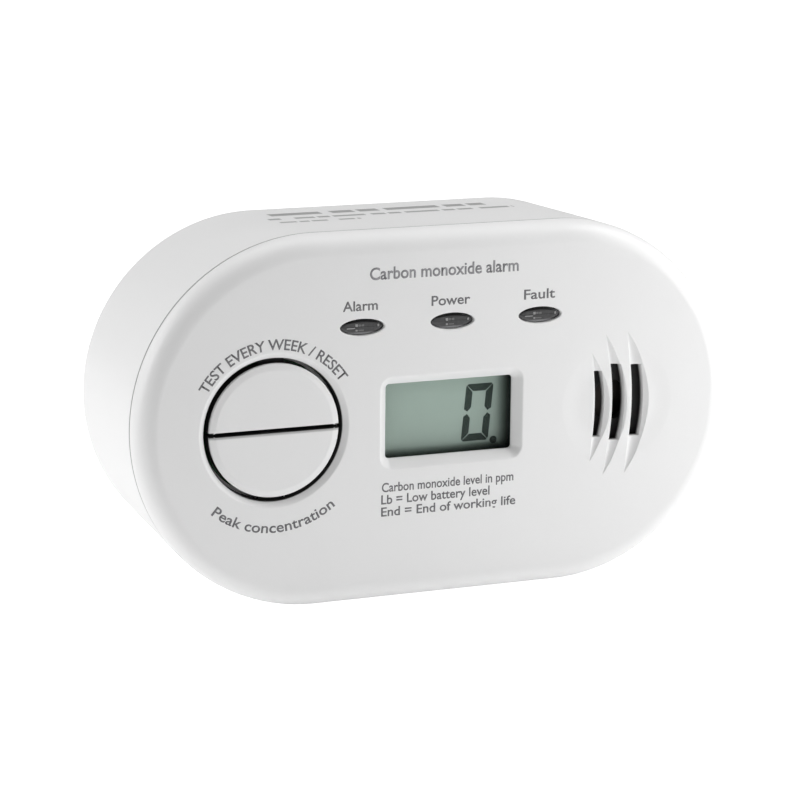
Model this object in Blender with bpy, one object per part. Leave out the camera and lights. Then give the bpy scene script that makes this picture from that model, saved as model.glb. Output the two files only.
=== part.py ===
"""Carbon monoxide alarm, battery powered, for a wall or a shelf.

Every piece is its own closed solid, in millimetres below and in metres in the scene.
X runs to the right seen from the front, the front faces -Y, and Z is up from the shelf.
"""
import math

import bmesh
import bpy
from mathutils import Vector

MM = 0.001
GAP = 0.3                        # clearance between two pieces that meet

# Case
WIDTH, HEIGHT, DEPTH = 120.0, 70.6, 41.0
RADIUS = HEIGHT / 2
FLAT = WIDTH / 2 - RADIUS        # half the straight length of the oval
MID_Z = HEIGHT / 2
FACE = -DEPTH / 2
BACK = DEPTH / 2
COVER_DEPTH = 4.6
SEAM = FACE + COVER_DEPTH
FILLET = 4.1
BACK_FILLET = 1.5
DRAFT = 1.35                     # how much smaller the oval is at the back
WALL = 2.0
INSIDE = FACE + WALL             # inner side of the front face
ARC_STEPS = 24

# Front features: x from the middle, z from mid-height
BUTTON_X, BUTTON_Z = -33.6, -0.4
WELL_RADIUS = 13.4
WELL_CHAMFER, WELL_CHAMFER_DEPTH = 1.4, 1.1
BUTTON_RADIUS = 12.65
SPLIT = 0.3                      # half the slit between the two buttons
BUTTON_BACK = INSIDE + 1.0
HINGE_RADIUS = 14.2              # from the button's middle to each flexure
HINGE_Y = INSIDE + 0.65
SWITCH_OFFSET = 7.0
SCREEN_X, SCREEN_Z = 1.5, -0.8
SCREEN_HALF = (12.65, 7.25)
SCREEN_BEVEL, SCREEN_BEVEL_DEPTH = 1.8, 1.9
LENS_FRONT = FACE + 3.5
LIGHT_Z = 17.85
LIGHTS = {"alarm": -16.5, "power": 1.5, "fault": 19.4}
LIGHT_HALF = (4.37, 1.56)
GRILLE_X, GRILLE_Z = 36.0, -0.5
DISH_RADII, DISH_DEPTH = (5.0, 8.4, 12.0), 0.3
PAD_RADIUS, PAD_DEPTH = 14.0, 0.4  # the wall is thicker behind the grille
SOUNDER_RADIUS = 15.5

# Circuit board and what holds it
BOARD_FRONT, BOARD_BACK = -10.6, -9.0
BOARD_RADIUS = 31.2
COVER_SCREWS = [(-44, -20), (44, -20), (-44, 20), (44, 20)]
BOARD_SCREWS = [(-14, -24), (20, -24), (2, 27)]
BOSS_END = -8.4
TUNNEL_FLOOR = (-7.9, -5.9)

# Battery compartment, for three AA cells lying on top of each other
CELL_RADIUS, CELL_LENGTH, CELL_PITCH = 7.25, 50.5, 14.8
BAY_HALF_X = 29.4
BAY_HALF_Z = 1.5 * CELL_PITCH + 0.1
BAY_FLOOR = 3.3
BAY_WALL = 1.6
CELL_Y = BAY_FLOOR + 0.15 + CELL_RADIUS
CONTACT = 0.4                    # thickness of the sheet-metal contacts
CONTACT_FACE = BAY_HALF_X - GAP - CONTACT
DOOR_THICKNESS = 2.2
DOOR_HALF_X = 31.0
DOOR_AXIS_Y = BACK - DOOR_THICKNESS / 2
DOOR_AXIS_Z = MID_Z - BAY_HALF_Z - 1.0
DOOR_TOP = MID_Z + BAY_HALF_Z + 1.7
PIN_RADIUS = 0.55
LABEL_RECESS = 0.6

# Colour, roughness, metallic
FINISHES = {
    "white_plastic": ((0.86, 0.86, 0.85), 0.5, 0.0),
    "button_plastic": ((0.85, 0.85, 0.84), 0.45, 0.0),
    "black_plastic": ((0.02, 0.02, 0.02), 0.5, 0.0),
    "smoked_plastic": ((0.04, 0.04, 0.045), 0.12, 0.0),
    "clear_plastic": ((0.8, 0.85, 0.82), 0.05, 0.0),
    "display_glass": ((0.36, 0.43, 0.38), 0.15, 0.0),
    "conductive_rubber": ((0.1, 0.1, 0.1), 0.7, 0.0),
    "red_led": ((0.5, 0.03, 0.02), 0.2, 0.0),
    "green_led": ((0.05, 0.4, 0.08), 0.2, 0.0),
    "amber_led": ((0.6, 0.3, 0.03), 0.2, 0.0),
    "board_laminate": ((0.03, 0.16, 0.06), 0.45, 0.0),
    "brass": ((0.75, 0.58, 0.28), 0.3, 1.0),
    "steel": ((0.6, 0.6, 0.6), 0.3, 1.0),
    "cell_wrap": ((0.08, 0.09, 0.11), 0.35, 0.0),
    "label_paper": ((0.82, 0.82, 0.8), 0.6, 0.0),
}


def ellipse(x, z, half_x, half_z=None, steps=24):
    """Outline of a circle, or of an ellipse when half_z is given."""
    half_z = half_x if half_z is None else half_z
    turns = [2 * math.pi * i / steps for i in range(steps)]
    return [(x + half_x * math.cos(a), z + half_z * math.sin(a)) for a in turns]


def oval(radius):
    """Outline of the case: two half circles joined by straight sides."""
    points = []
    for side in (1, -1):
        for i in range(ARC_STEPS + 1):
            angle = math.pi * (i / ARC_STEPS - 0.5)
            points.append((side * (FLAT + radius * math.cos(angle)),
                           MID_Z + side * radius * math.sin(angle)))
    return points


def rounded_rectangle(x, z, half_x, half_z, radius, steps=4):
    points = []
    for corner, (sx, sz) in enumerate([(1, 1), (-1, 1), (-1, -1), (1, -1)]):
        for i in range(steps + 1):
            angle = math.pi / 2 * (corner + i / steps)
            points.append((x + sx * (half_x - radius) + radius * math.cos(angle),
                           z + sz * (half_z - radius) + radius * math.sin(angle)))
    return points


def half_disc(radius, chord, side, steps=20):
    """Outline of one button: the disc beyond a chord, above it for side 1."""
    start = math.asin(chord / radius)
    angles = [start + (math.pi - 2 * start) * i / steps for i in range(steps + 1)]
    return [(BUTTON_X + radius * math.cos(a),
             MID_Z + BUTTON_Z + side * radius * math.sin(a)) for a in angles]


def crescent(left, right, tip_x, low, high, steps=10):
    """Outline between two arcs that share their tips; left and right are the mid points."""
    half = (high - low) / 2
    middle = (high + low) / 2
    points = []
    for reach, turn in ((right, 1), (left, -1)):
        for i in range(steps):
            t = turn * (2 * i / steps - 1)
            points.append((tip_x + (reach - tip_x) * (1 - t * t), MID_Z + middle + t * half))
    return points


def new_object(name, mesh_data):
    bmesh.ops.recalc_face_normals(mesh_data, faces=mesh_data.faces)
    mesh = bpy.data.meshes.new(name)
    mesh_data.to_mesh(mesh)
    mesh_data.free()
    mesh.shade_smooth()
    mesh.set_sharp_from_angle(angle=math.radians(32))
    piece = bpy.data.objects.new(name, mesh)
    bpy.context.collection.objects.link(piece)
    return piece


def bridge(body, loops):
    """Side faces between each closed loop of points and the next one."""
    for here, there in zip(loops, loops[1:]):
        for i in range(len(here)):
            body.faces.new((here[i - 1], here[i], there[i], there[i - 1]))


def loft(name, rings, axis="Y"):
    """Closed body through (place along the axis, outline) rings, capped at both ends."""
    order = {"X": lambda t, p: (t, p[0], p[1]), "Y": lambda t, p: (p[0], t, p[1])}[axis]
    body = bmesh.new()
    loops = [[body.verts.new(Vector(order(t, p)) * MM) for p in outline] for t, outline in rings]
    bridge(body, loops)
    body.faces.new(loops[0])
    body.faces.new(reversed(loops[-1]))
    return new_object(name, body)


def prism(name, outline, low, high, axis="Y"):
    return loft(name, [(low, outline), (high, outline)], axis)


def turned(name, x, z, profile, steps=20):
    """Round body about a line along Y, from (y, radius) pairs."""
    return loft(name, [(y, ellipse(x, MID_Z + z, radius, steps=steps)) for y, radius in profile])


def ring(name, x, z, profile, steps=32):
    """Closed ring about a line along Y, from the (y, radius) corners of its section."""
    body = bmesh.new()
    loops = [[body.verts.new(Vector((px, y, pz)) * MM) for px, pz in ellipse(x, MID_Z + z, radius, steps=steps)]
             for y, radius in profile]
    bridge(body, loops + loops[:1])
    return new_object(name, body)


def block(name, x, y, z):
    """Box between the (low, high) pairs, with z from the shelf."""
    body = bmesh.new()
    bmesh.ops.create_cube(body, size=1.0)
    for vert in body.verts:
        spans = zip(vert.co, (x, y, z))
        vert.co = Vector([((low + high) / 2 + side * (high - low)) * MM for side, (low, high) in spans])
    return new_object(name, body)


def boolean(target, operation, tools):
    for tool in tools:
        tool.hide_render = True
        tool.display_type = "WIRE"
        modifier = target.modifiers.new(tool.name, "BOOLEAN")
        modifier.operation = operation
        modifier.solver = "EXACT"
        modifier.object = tool
    return target


def cut(target, *tools):
    return boolean(target, "DIFFERENCE", tools)


def join(target, *tools):
    return boolean(target, "UNION", tools)


def finish(piece, finish_name):
    """Give a piece its own material in one of the finishes."""
    colour, roughness, metallic = FINISHES[finish_name]
    material = bpy.data.materials.new(piece.name)
    material.use_nodes = True
    shader = material.node_tree.nodes["Principled BSDF"]
    shader.inputs["Base Color"].default_value = (*colour, 1.0)
    shader.inputs["Roughness"].default_value = roughness
    shader.inputs["Metallic"].default_value = metallic
    piece.data.materials.clear()
    piece.data.materials.append(material)
    return piece


def move_origin(piece, point):
    """Put the object's origin on a point, with its shape left where it is."""
    offset = Vector(point) * MM
    for vert in piece.data.vertices:
        vert.co -= offset
    piece.location = offset


def quarter_arc(radius, steps):
    """Offsets of a rounded edge, from the side to the face: (along y, inwards)."""
    angles = [math.pi / 2 * i / steps for i in range(steps + 1)]
    return [(radius * math.sin(a), radius * (1 - math.cos(a))) for a in angles]


# Grille: each groove's left and right mid points and its tips, then its opening's left and right
# edges as (at the ends, at the middle), all from the case's middle and mid-height
SLOTS = [
    {"left": 31.5, "right": 34.5, "tip": 30.7, "span": (-11.7, 9.8),
     "open_left": (31.1, 31.6), "open_right": (32.3, 33.45), "open_span": (-7.0, 6.0)},
    {"left": 35.3, "right": 38.0, "tip": 33.5, "span": (-14.7, 13.3),
     "open_left": (34.8, 35.4), "open_right": (36.5, 37.75), "open_span": (-7.9, 7.1)},
    {"left": 39.4, "right": 42.8, "tip": 38.1, "span": (-14.7, 13.6),
     "open_left": (39.0, 39.5), "open_right": (41.0, 41.8), "open_span": (-7.4, 6.7)},
]


def slot_tools(index, slot):
    """A boat-shaped groove and the opening along its left side."""
    low, high = slot["span"]
    outer = crescent(slot["left"], slot["right"], slot["tip"], low, high)
    keel = crescent(slot["left"] + 0.3, slot["left"] + 0.9, slot["tip"] + 0.3, low + 2.5, high - 2.5)
    groove = loft(f"groove_{index}", [(FACE - 0.5, outer), (FACE + 0.05, outer), (FACE + 1.2, keel)])
    low, high = slot["open_span"]
    outline = []
    for (end, middle), turn in ((slot["open_right"], 1), (slot["open_left"], -1)):
        for i in range(7):
            t = turn * (i / 3 - 1)
            outline.append((end + (middle - end) * (1 - t * t), MID_Z + (low + high) / 2 + t * (high - low) / 2))
    return [groove, prism(f"opening_{index}", outline, FACE - 0.4, INSIDE + 1)]


def front_cover():
    """Shallow dish with the button well, the display window, three lights and the grille."""
    rim = SEAM - GAP / 2
    side = FACE + FILLET
    outside = [(side - along, RADIUS - inward) for along, inward in quarter_arc(FILLET, 6)]
    corner = FILLET - WALL
    inside = [(side - along, RADIUS - WALL - inward) for along, inward in quarter_arc(corner, 3)]
    profile = list(reversed(outside)) + [(rim, RADIUS), (rim, RADIUS - WALL)] + inside
    cover = loft("front_cover", [(y, oval(radius)) for y, radius in profile])
    seat = INSIDE - 0.4
    collars = [
        turned("grille_pad", GRILLE_X, GRILLE_Z, [(seat, PAD_RADIUS), (INSIDE + PAD_DEPTH, PAD_RADIUS)], 32),
        turned("well_collar", BUTTON_X, BUTTON_Z,
               [(seat, WELL_RADIUS + 1.4), (INSIDE + 2.0, WELL_RADIUS + 1.4)], 40),
        prism("screen_collar", rounded_rectangle(SCREEN_X, MID_Z + SCREEN_Z, SCREEN_HALF[0] + 2.6,
                                                 SCREEN_HALF[1] + 2.6, 2.5), seat, LENS_FRONT - GAP),
        ring("sounder_ring", GRILLE_X, GRILLE_Z,
             [(seat, SOUNDER_RADIUS + 1.5), (INSIDE + 2, SOUNDER_RADIUS + 1.5), (INSIDE + 2, SOUNDER_RADIUS + GAP),
              (seat, SOUNDER_RADIUS + GAP)]),
    ]
    bosses = [turned(f"cover_boss_{i}", x, z, [(seat, 3.0), (BOSS_END, 3.0)], 16)
              for i, (x, z) in enumerate(COVER_SCREWS)]
    bosses += [turned(f"board_boss_{i}", x, z, [(seat, 2.5), (BOARD_FRONT - GAP, 2.5)], 16)
               for i, (x, z) in enumerate(BOARD_SCREWS)]
    join(cover, *collars, *bosses)

    beyond = FACE - 0.4
    chamfer = WELL_CHAMFER / WELL_CHAMFER_DEPTH
    well = turned("well", BUTTON_X, BUTTON_Z,
                  [(beyond, WELL_RADIUS + WELL_CHAMFER + 0.4 * chamfer), (FACE + WELL_CHAMFER_DEPTH, WELL_RADIUS),
                   (INSIDE + 3, WELL_RADIUS)], 40)
    notch = block("hinge_notch", (BUTTON_X - 3.1, BUTTON_X + 3.1), (INSIDE + 0.1, INSIDE + 3),
                  (MID_Z + BUTTON_Z - 16, MID_Z + BUTTON_Z + 16))
    slope = SCREEN_BEVEL / SCREEN_BEVEL_DEPTH
    window = loft("window", [
        (y, rounded_rectangle(SCREEN_X, MID_Z + SCREEN_Z, SCREEN_HALF[0] + extra, SCREEN_HALF[1] + extra, radius))
        for y, extra, radius in ((beyond, SCREEN_BEVEL + 0.4 * slope, 2.6), (FACE + SCREEN_BEVEL_DEPTH, 0, 0.8),
                                 (LENS_FRONT, 0, 0.8))])
    dome, trough, foot = DISH_RADII
    dish = ring("dish", GRILLE_X, GRILLE_Z, [(FACE - DISH_DEPTH, 2 * foot - trough), (FACE + DISH_DEPTH, trough),
                                             (FACE - DISH_DEPTH, 2 * dome - trough)], 32)
    tools = [dish, well, notch, window]
    for name, x in LIGHTS.items():
        shape = ellipse(x, MID_Z + LIGHT_Z, *LIGHT_HALF, steps=28)
        tools.append(prism(f"{name}_hole", shape, beyond, INSIDE + 1))
    for index, slot in enumerate(SLOTS):
        tools += slot_tools(index, slot)
    tools += [turned(f"cover_boss_hole_{i}", x, z, [(-15, 1.5), (BOSS_END + 1, 1.5)], 12)
              for i, (x, z) in enumerate(COVER_SCREWS)]
    tools += [turned(f"board_boss_hole_{i}", x, z, [(-16, 1.3), (BOARD_FRONT + 1, 1.3)], 12)
              for i, (x, z) in enumerate(BOARD_SCREWS)]
    cut(cover, *tools)
    return finish(cover, "white_plastic")


def keyhole(index, side):
    """Round mouth for a screw head, with a narrower slot above it."""
    x = side * 44.0
    mouth, neck, rise = 4.0, 2.1, 7.0
    points = [(x + mouth * math.cos(a), MID_Z - 2 + mouth * math.sin(a))
              for a in [math.radians(122 + (418 - 122) * i / 20) for i in range(21)]]
    points += [(x + neck * math.cos(a), MID_Z - 2 + rise + neck * math.sin(a))
               for a in [math.pi * i / 8 for i in range(9)]]
    return prism(f"keyhole_{index}", points, BACK - WALL - 1, BACK + 1)


def rear_housing():
    """Deep tapered shell with the battery bay, the screw tunnels, keyholes, vents and foot rails."""
    rim = SEAM + GAP / 2
    lip_radius = RADIUS - WALL - GAP
    lip_inner = lip_radius - 1.3
    depth = BACK - BACK_FILLET
    outside = [(depth + along, RADIUS - DRAFT - inward) for along, inward in quarter_arc(BACK_FILLET, 3)]
    profile = list(reversed(outside)) + [
        (rim, RADIUS), (rim, lip_radius), (rim - 1.5, lip_radius), (rim - 1.5, lip_inner), (rim + 2, lip_inner),
        (rim + 3.3, RADIUS - WALL - 0.1), (BACK - WALL, RADIUS - DRAFT - WALL)]
    housing = loft("rear_housing", [(y, oval(radius)) for y, radius in profile])

    bay_x, bay_z = BAY_HALF_X + BAY_WALL, BAY_HALF_Z + 1.5
    root = BACK - WALL + 0.4
    additions = [
        block("bay_walls", (-bay_x, bay_x), (BAY_FLOOR - BAY_WALL, root), (MID_Z - bay_z, MID_Z + bay_z)),
        block("door_frame", (-DOOR_HALF_X - 2.5, DOOR_HALF_X + 2.5), (BACK - 5, root + 0.1),
              (DOOR_AXIS_Z - 3.2, DOOR_TOP + 2)),
    ]
    for i, (x, z) in enumerate(COVER_SCREWS):
        additions.append(turned(f"tunnel_{i}", x, z, [(TUNNEL_FLOOR[0], 4.6), (root, 4.6)], 20))
    for side in (-1, 1):
        additions.append(block(f"foot_rail_{side}", (side * 18 - 4, side * 18 + 4), (SEAM + 2, BACK - 4), (0, 2.2)))
    join(housing, *additions)

    outer = BACK + 1
    tools = [
        block("bay_space", (-BAY_HALF_X, BAY_HALF_X), (BAY_FLOOR, outer), (MID_Z - BAY_HALF_Z, MID_Z + BAY_HALF_Z)),
        block("door_recess", (-DOOR_HALF_X - GAP, DOOR_HALF_X + GAP), (BACK - DOOR_THICKNESS - GAP, outer + 1),
              (DOOR_AXIS_Z - DOOR_THICKNESS / 2 - GAP, DOOR_TOP + GAP)),
        prism("pin_bore", ellipse(DOOR_AXIS_Y, DOOR_AXIS_Z, PIN_RADIUS + GAP, steps=12),
              -DOOR_HALF_X - 1.8, DOOR_HALF_X + 1.8, "X"),
        turned("finger_scoop", 0, DOOR_TOP - MID_Z, [(BACK - 1.3, 6.5), (BACK + 0.5, 8.3)], 28),
        keyhole(1, -1), keyhole(2, 1),
    ]
    for i, (x, z) in enumerate(COVER_SCREWS):
        tools.append(turned(f"tunnel_bore_{i}", x, z, [(TUNNEL_FLOOR[1], 3.4), (outer, 3.4)], 20))
        tools.append(turned(f"screw_hole_{i}", x, z, [(TUNNEL_FLOOR[0] - 1, 1.6), (TUNNEL_FLOOR[1] + 1, 1.6)], 12))
    for side in (-1, 1):
        for row in range(3):
            z = MID_Z - 10.5 - 2.6 * (row - 1)
            tools.append(block(f"vent_{side}_{row}", (side * 44 - 6, side * 44 + 6), (BACK - WALL - 1, outer),
                               (z - 0.7, z + 0.7)))
    for side, level in ((-1, -1), (1, 1)):
        low, high = sorted((side * (BAY_HALF_X - 1.2), side * (BAY_HALF_X + 0.1)))
        z = MID_Z + level * CELL_PITCH
        tools.append(block(f"lead_slot_{side}", (low, high), (0, BAY_FLOOR + 1), (z - 1.6, z + 1.6)))
    cut(housing, *tools)
    return finish(housing, "white_plastic")


def battery_door():
    """Flat door on two pins, with a round lower edge and a shallow place for the label."""
    low_y = BACK - DOOR_THICKNESS
    half = DOOR_THICKNESS / 2
    edge = [(DOOR_AXIS_Y + half * math.cos(a), DOOR_AXIS_Z + half * math.sin(a))
            for a in [math.pi + math.pi * i / 8 for i in range(9)]]
    outline = edge + [(BACK, DOOR_TOP), (low_y, DOOR_TOP)]
    door = prism("battery_door", outline, -DOOR_HALF_X, DOOR_HALF_X, "X")
    pin = prism("door_pin", ellipse(DOOR_AXIS_Y, DOOR_AXIS_Z, PIN_RADIUS, steps=10),
                -DOOR_HALF_X - 1.4, DOOR_HALF_X + 1.4, "X")
    join(door, pin)
    recess = block("label_recess", (-24, 24), (BACK - LABEL_RECESS, BACK + 1), (MID_Z - 16, MID_Z + 10))
    grips = [block(f"grip_{i}", (-7, 7), (BACK - 0.6, BACK + 1), (DOOR_TOP - 3.4 - 2 * i, DOOR_TOP - 2.6 - 2 * i))
             for i in range(3)]
    cut(door, recess, *grips)
    label = block("rating_label", (-24 + GAP, 24 - GAP), (BACK - 0.25, BACK - 0.05),
                  (MID_Z - 16 + GAP, MID_Z + 10 - GAP))
    for piece in (door, label):
        move_origin(piece, (0, DOOR_AXIS_Y, DOOR_AXIS_Z))
    for tool in (pin, recess, *grips):
        tool.parent = door
        tool.matrix_parent_inverse = door.matrix_basis.inverted()
    return finish(door, "white_plastic"), finish(label, "label_paper")


def button(name, side):
    """Half disc with a bevelled rim, hollow behind, on a flexure at its outer middle."""
    crown = [(BUTTON_BACK, 0), (FACE + 0.9, 0), (FACE + 0.25, 0.45), (FACE, 1.3)]
    hollow = [(BUTTON_BACK, 1.6), (FACE + 1.7, 1.6)]
    rings = [(y, half_disc(BUTTON_RADIUS - inset, SPLIT + inset, side)) for y, inset in reversed(crown)]
    rings += [(y, half_disc(BUTTON_RADIUS - inset, SPLIT + inset, side)) for y, inset in hollow]
    body = loft(name, rings)
    middle = MID_Z + BUTTON_Z
    reach = sorted((middle + side * (BUTTON_RADIUS - 1), middle + side * (HINGE_RADIUS + 0.6)))
    flexure = block(f"{name}_flexure", (BUTTON_X - 2.5, BUTTON_X + 2.5), (INSIDE + 0.35, BUTTON_BACK - 0.05), reach)
    post = turned(f"{name}_post", BUTTON_X, BUTTON_Z + side * SWITCH_OFFSET, [(FACE + 1.5, 1.4), (-15.7, 1.4)], 14)
    join(body, flexure, post)
    axis = (BUTTON_X, HINGE_Y, middle + side * HINGE_RADIUS)
    move_origin(body, axis)
    for tool in (flexure, post):
        tool.parent = body
        tool.matrix_parent_inverse = body.matrix_basis.inverted()
    return finish(body, "button_plastic")


def button_frame():
    """Ring behind the well that carries both flexures."""
    low, high = INSIDE + 2.3, INSIDE + 3.8
    carrier = ring("button_frame", BUTTON_X, BUTTON_Z, [(low, 17.2), (high, 17.2), (high, 12.9), (low, 12.9)])
    middle = MID_Z + BUTTON_Z
    arms = []
    for side in (-1, 1):
        span = sorted((middle + side * (HINGE_RADIUS + 0.9), middle + side * 17.0))
        arms.append(block(f"frame_arm_{side}", (BUTTON_X - 2.5, BUTTON_X + 2.5), (INSIDE + 0.35, low + 0.5), span))
    join(carrier, *arms)
    return finish(carrier, "button_plastic")


def switch(name, side):
    """Square tactile switch on the board, with its plunger as a piece of its own."""
    x, z = BUTTON_X, BUTTON_Z + side * SWITCH_OFFSET
    back = BOARD_FRONT - GAP
    body = prism(f"{name}_switch", rounded_rectangle(x, MID_Z + z, 3, 3, 0.5, 2), back - 3.4, back)
    cut(body, turned(f"{name}_switch_bore", x, z, [(back - 4.4, 2.05), (back - 1.9, 2.05)], 16))
    plunger = turned(f"{name}_plunger", x, z, [(-15.4, 1.3), (-15.1, 1.75), (back - 2.4, 1.75)], 16)
    move_origin(plunger, (x, -15.4, MID_Z + z))
    return finish(body, "black_plastic"), finish(plunger, "black_plastic")


def display():
    """Clear window, liquid crystal glass, its holder and the rubber connector."""
    centre = (SCREEN_X, MID_Z + SCREEN_Z)
    half_x, half_z = SCREEN_HALF
    finish(prism("display_lens", rounded_rectangle(*centre, half_x + 2.4, half_z + 2.4, 1.0, 3),
                 LENS_FRONT, LENS_FRONT + 1.0), "clear_plastic")
    glass_front = LENS_FRONT + 1.3
    finish(prism("lcd_glass", rounded_rectangle(*centre, half_x + 2.4, half_z + 2.2, 0.4, 2),
                 glass_front, glass_front + 2.2), "display_glass")
    back = BOARD_FRONT - GAP
    holder = prism("lcd_holder", rounded_rectangle(*centre, half_x + 4.2, half_z + 4.0, 1.2, 3), glass_front, back)
    cut(holder,
        prism("lcd_pocket", rounded_rectangle(*centre, half_x + 2.7, half_z + 2.5, 0.4, 2),
              glass_front - 1, glass_front + 2.5),
        prism("lcd_opening", rounded_rectangle(*centre, half_x, half_z, 0.4, 2), glass_front, back + 1))
    finish(holder, "black_plastic")
    x, z = centre
    finish(block("lcd_connector", (x - 11, x + 11), (glass_front + 2.5, back), (z - 6.6, z - 4.6)),
           "conductive_rubber")


def lights():
    """Smoked oval windows, with a round lamp behind each."""
    colours = {"alarm": "red_led", "power": "green_led", "fault": "amber_led"}
    for name, x in LIGHTS.items():
        half_x, half_z = LIGHT_HALF
        sizes = [(FACE + 0.35, -GAP), (INSIDE + GAP, -GAP), (INSIDE + GAP, 1.2), (INSIDE + 1.1, 1.2)]
        lens = loft(f"{name}_lens", [(y, ellipse(x, MID_Z + LIGHT_Z, half_x + more, half_z + more, steps=28))
                                     for y, more in sizes])
        finish(lens, "smoked_plastic")
        tip = INSIDE + 1.4
        dome = [(tip, 0.5), (tip + 0.3, 1.1), (tip + 1.1, 1.5), (-12.2, 1.5), (-12.2, 1.9), (BOARD_FRONT - GAP, 1.9)]
        finish(turned(f"{name}_led", x, LIGHT_Z, dome, 16), colours[name])


def sounder():
    """Open cup behind the grille, a brass piezo disc on a ledge and the plate with the sound hole."""
    front = INSIDE + PAD_DEPTH + GAP
    back = BOARD_FRONT - GAP
    inner = SOUNDER_RADIUS - 1.2
    ledge = back - 2.6
    cup = turned("sounder_case", GRILLE_X, GRILLE_Z,
                 [(back, SOUNDER_RADIUS), (front, SOUNDER_RADIUS), (front, inner), (ledge, inner),
                  (ledge, inner - 1.4), (back - 1.2, inner - 1.4)], 32)
    finish(cup, "black_plastic")
    finish(turned("piezo_disc", GRILLE_X, GRILLE_Z, [(ledge - 0.6, inner - 0.4), (ledge - GAP, inner - 0.4)], 28),
           "brass")
    plate = turned("sounder_plate", GRILLE_X, GRILLE_Z, [(front + 0.4, inner - GAP), (ledge - 0.9, inner - GAP)], 28)
    cut(plate,
        turned("sound_chamber", GRILLE_X, GRILLE_Z, [(ledge - 2.2, inner - 1.6), (ledge, inner - 1.6)], 24),
        turned("sound_hole", GRILLE_X, GRILLE_Z, [(front - 1, 4.0), (ledge, 4.0)], 20))
    finish(plate, "black_plastic")


def circuit_board():
    board = prism("circuit_board", oval(BOARD_RADIUS), BOARD_FRONT, BOARD_BACK)
    holes = [turned(f"boss_hole_{i}", x, z, [(BOARD_FRONT - 1, 3.4), (BOARD_BACK + 1, 3.4)], 16)
             for i, (x, z) in enumerate(COVER_SCREWS)]
    holes += [turned(f"fixing_hole_{i}", x, z, [(BOARD_FRONT - 1, 1.4), (BOARD_BACK + 1, 1.4)], 12)
              for i, (x, z) in enumerate(BOARD_SCREWS)]
    cut(board, *holes)
    finish(board, "board_laminate")

    back = BOARD_BACK + GAP
    sensor_x = -44.0
    finish(turned("sensor_can", sensor_x, 0, [(back, 8.8), (back + 0.8, 9.3), (back + 10.5, 9.3), (back + 11, 8.9)], 28),
           "steel")
    cap = turned("sensor_cap", sensor_x, 0, [(back + 11.3, 8.6), (back + 15.5, 8.6), (back + 16.3, 7.8)], 28)
    cut(cap, turned("gas_inlet", sensor_x, 0, [(back + 12.5, 2.0), (back + 18, 2.0)], 14))
    finish(cap, "black_plastic")
    finish(turned("capacitor", 44, 5, [(back, 3.7), (back + 0.8, 4.0), (back + 9.4, 4.0), (back + 9.9, 3.7)], 20),
           "cell_wrap")
    spool = [(back, 4.6), (back + 1.2, 4.6), (back + 1.2, 3.2), (back + 6.8, 3.2), (back + 6.8, 4.6), (back + 8, 4.6)]
    finish(turned("sounder_coil", 42, -7, spool, 20), "black_plastic")
    finish(prism("microcontroller", rounded_rectangle(0, MID_Z - 4, 5, 5, 0.4, 2), back, back + 1.5), "black_plastic")


def screw(name, x, z, seat, head, shank, length):
    """Pan-head screw driven from behind, with a cross recess."""
    body = turned(name, x, z, [(seat - length, shank * 0.5), (seat - length + 1.2, shank), (seat, shank), (seat, head),
                               (seat + 1.2, head), (seat + 1.8, head * 0.7)], 16)
    arm = head * 0.55
    across = block(f"{name}_recess_x", (x - arm, x + arm), (seat + 0.9, seat + 3), (MID_Z + z - 0.35, MID_Z + z + 0.35))
    upright = block(f"{name}_recess_z", (x - 0.35, x + 0.35), (seat + 0.9, seat + 3), (MID_Z + z - arm, MID_Z + z + arm))
    cut(body, across, upright)
    return finish(body, "steel")


def screws():
    for i, (x, z) in enumerate(COVER_SCREWS, 1):
        screw(f"cover_screw_{i}", x, z, TUNNEL_FLOOR[1] + GAP, 2.8, 1.2, 8.2)
    for i, (x, z) in enumerate(BOARD_SCREWS, 1):
        screw(f"board_screw_{i}", x, z, BOARD_BACK + GAP, 2.2, 1.0, 5.6)


def spring(name, start, end, z, turns=3.5, steps=12, sides=5):
    """Coil spring along X, narrowing towards the cell."""
    wire, wide, narrow = 0.4, 4.6, 3.2
    start, end = start + math.copysign(wire, end - start), end - math.copysign(wire, end - start)
    count = int(turns * steps)
    body = bmesh.new()
    loops = []
    for i in range(count + 1):
        share = i / count
        turn = 2 * math.pi * turns * share
        radius = wide + (narrow - wide) * share
        outward = Vector((0, math.cos(turn), math.sin(turn)))
        centre = Vector((start + (end - start) * share, CELL_Y, z)) + outward * radius
        around = [2 * math.pi * k / sides for k in range(sides)]
        loops.append([body.verts.new((centre + wire * (math.cos(a) * outward + Vector((math.sin(a), 0, 0)))) * MM)
                      for a in around])
    bridge(body, loops)
    body.faces.new(loops[0])
    body.faces.new(reversed(loops[-1]))
    return finish(new_object(name, body), "steel")


def batteries():
    """Three cells in series, each lying the other way round from its neighbour."""
    shoulder = CONTACT_FACE - GAP - 1.0
    tail = shoulder + 1.0 - CELL_LENGTH
    for i, (level, side) in enumerate(((1, 1), (0, -1), (-1, 1)), 1):
        z = MID_Z + level * CELL_PITCH
        profile = [(tail, 6.6), (tail + 0.5, CELL_RADIUS), (shoulder - 0.6, CELL_RADIUS), (shoulder, 6.4),
                   (shoulder, 2.7), (shoulder + 1.0, 2.6)]
        rings = [(side * x, ellipse(CELL_Y, z, radius)) for x, radius in profile]
        finish(loft(f"battery_cell_{i}", rings, "X"), "cell_wrap")
        spring(f"battery_spring_{i}", -side * (CONTACT_FACE - GAP), side * (tail - GAP), z)


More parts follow.
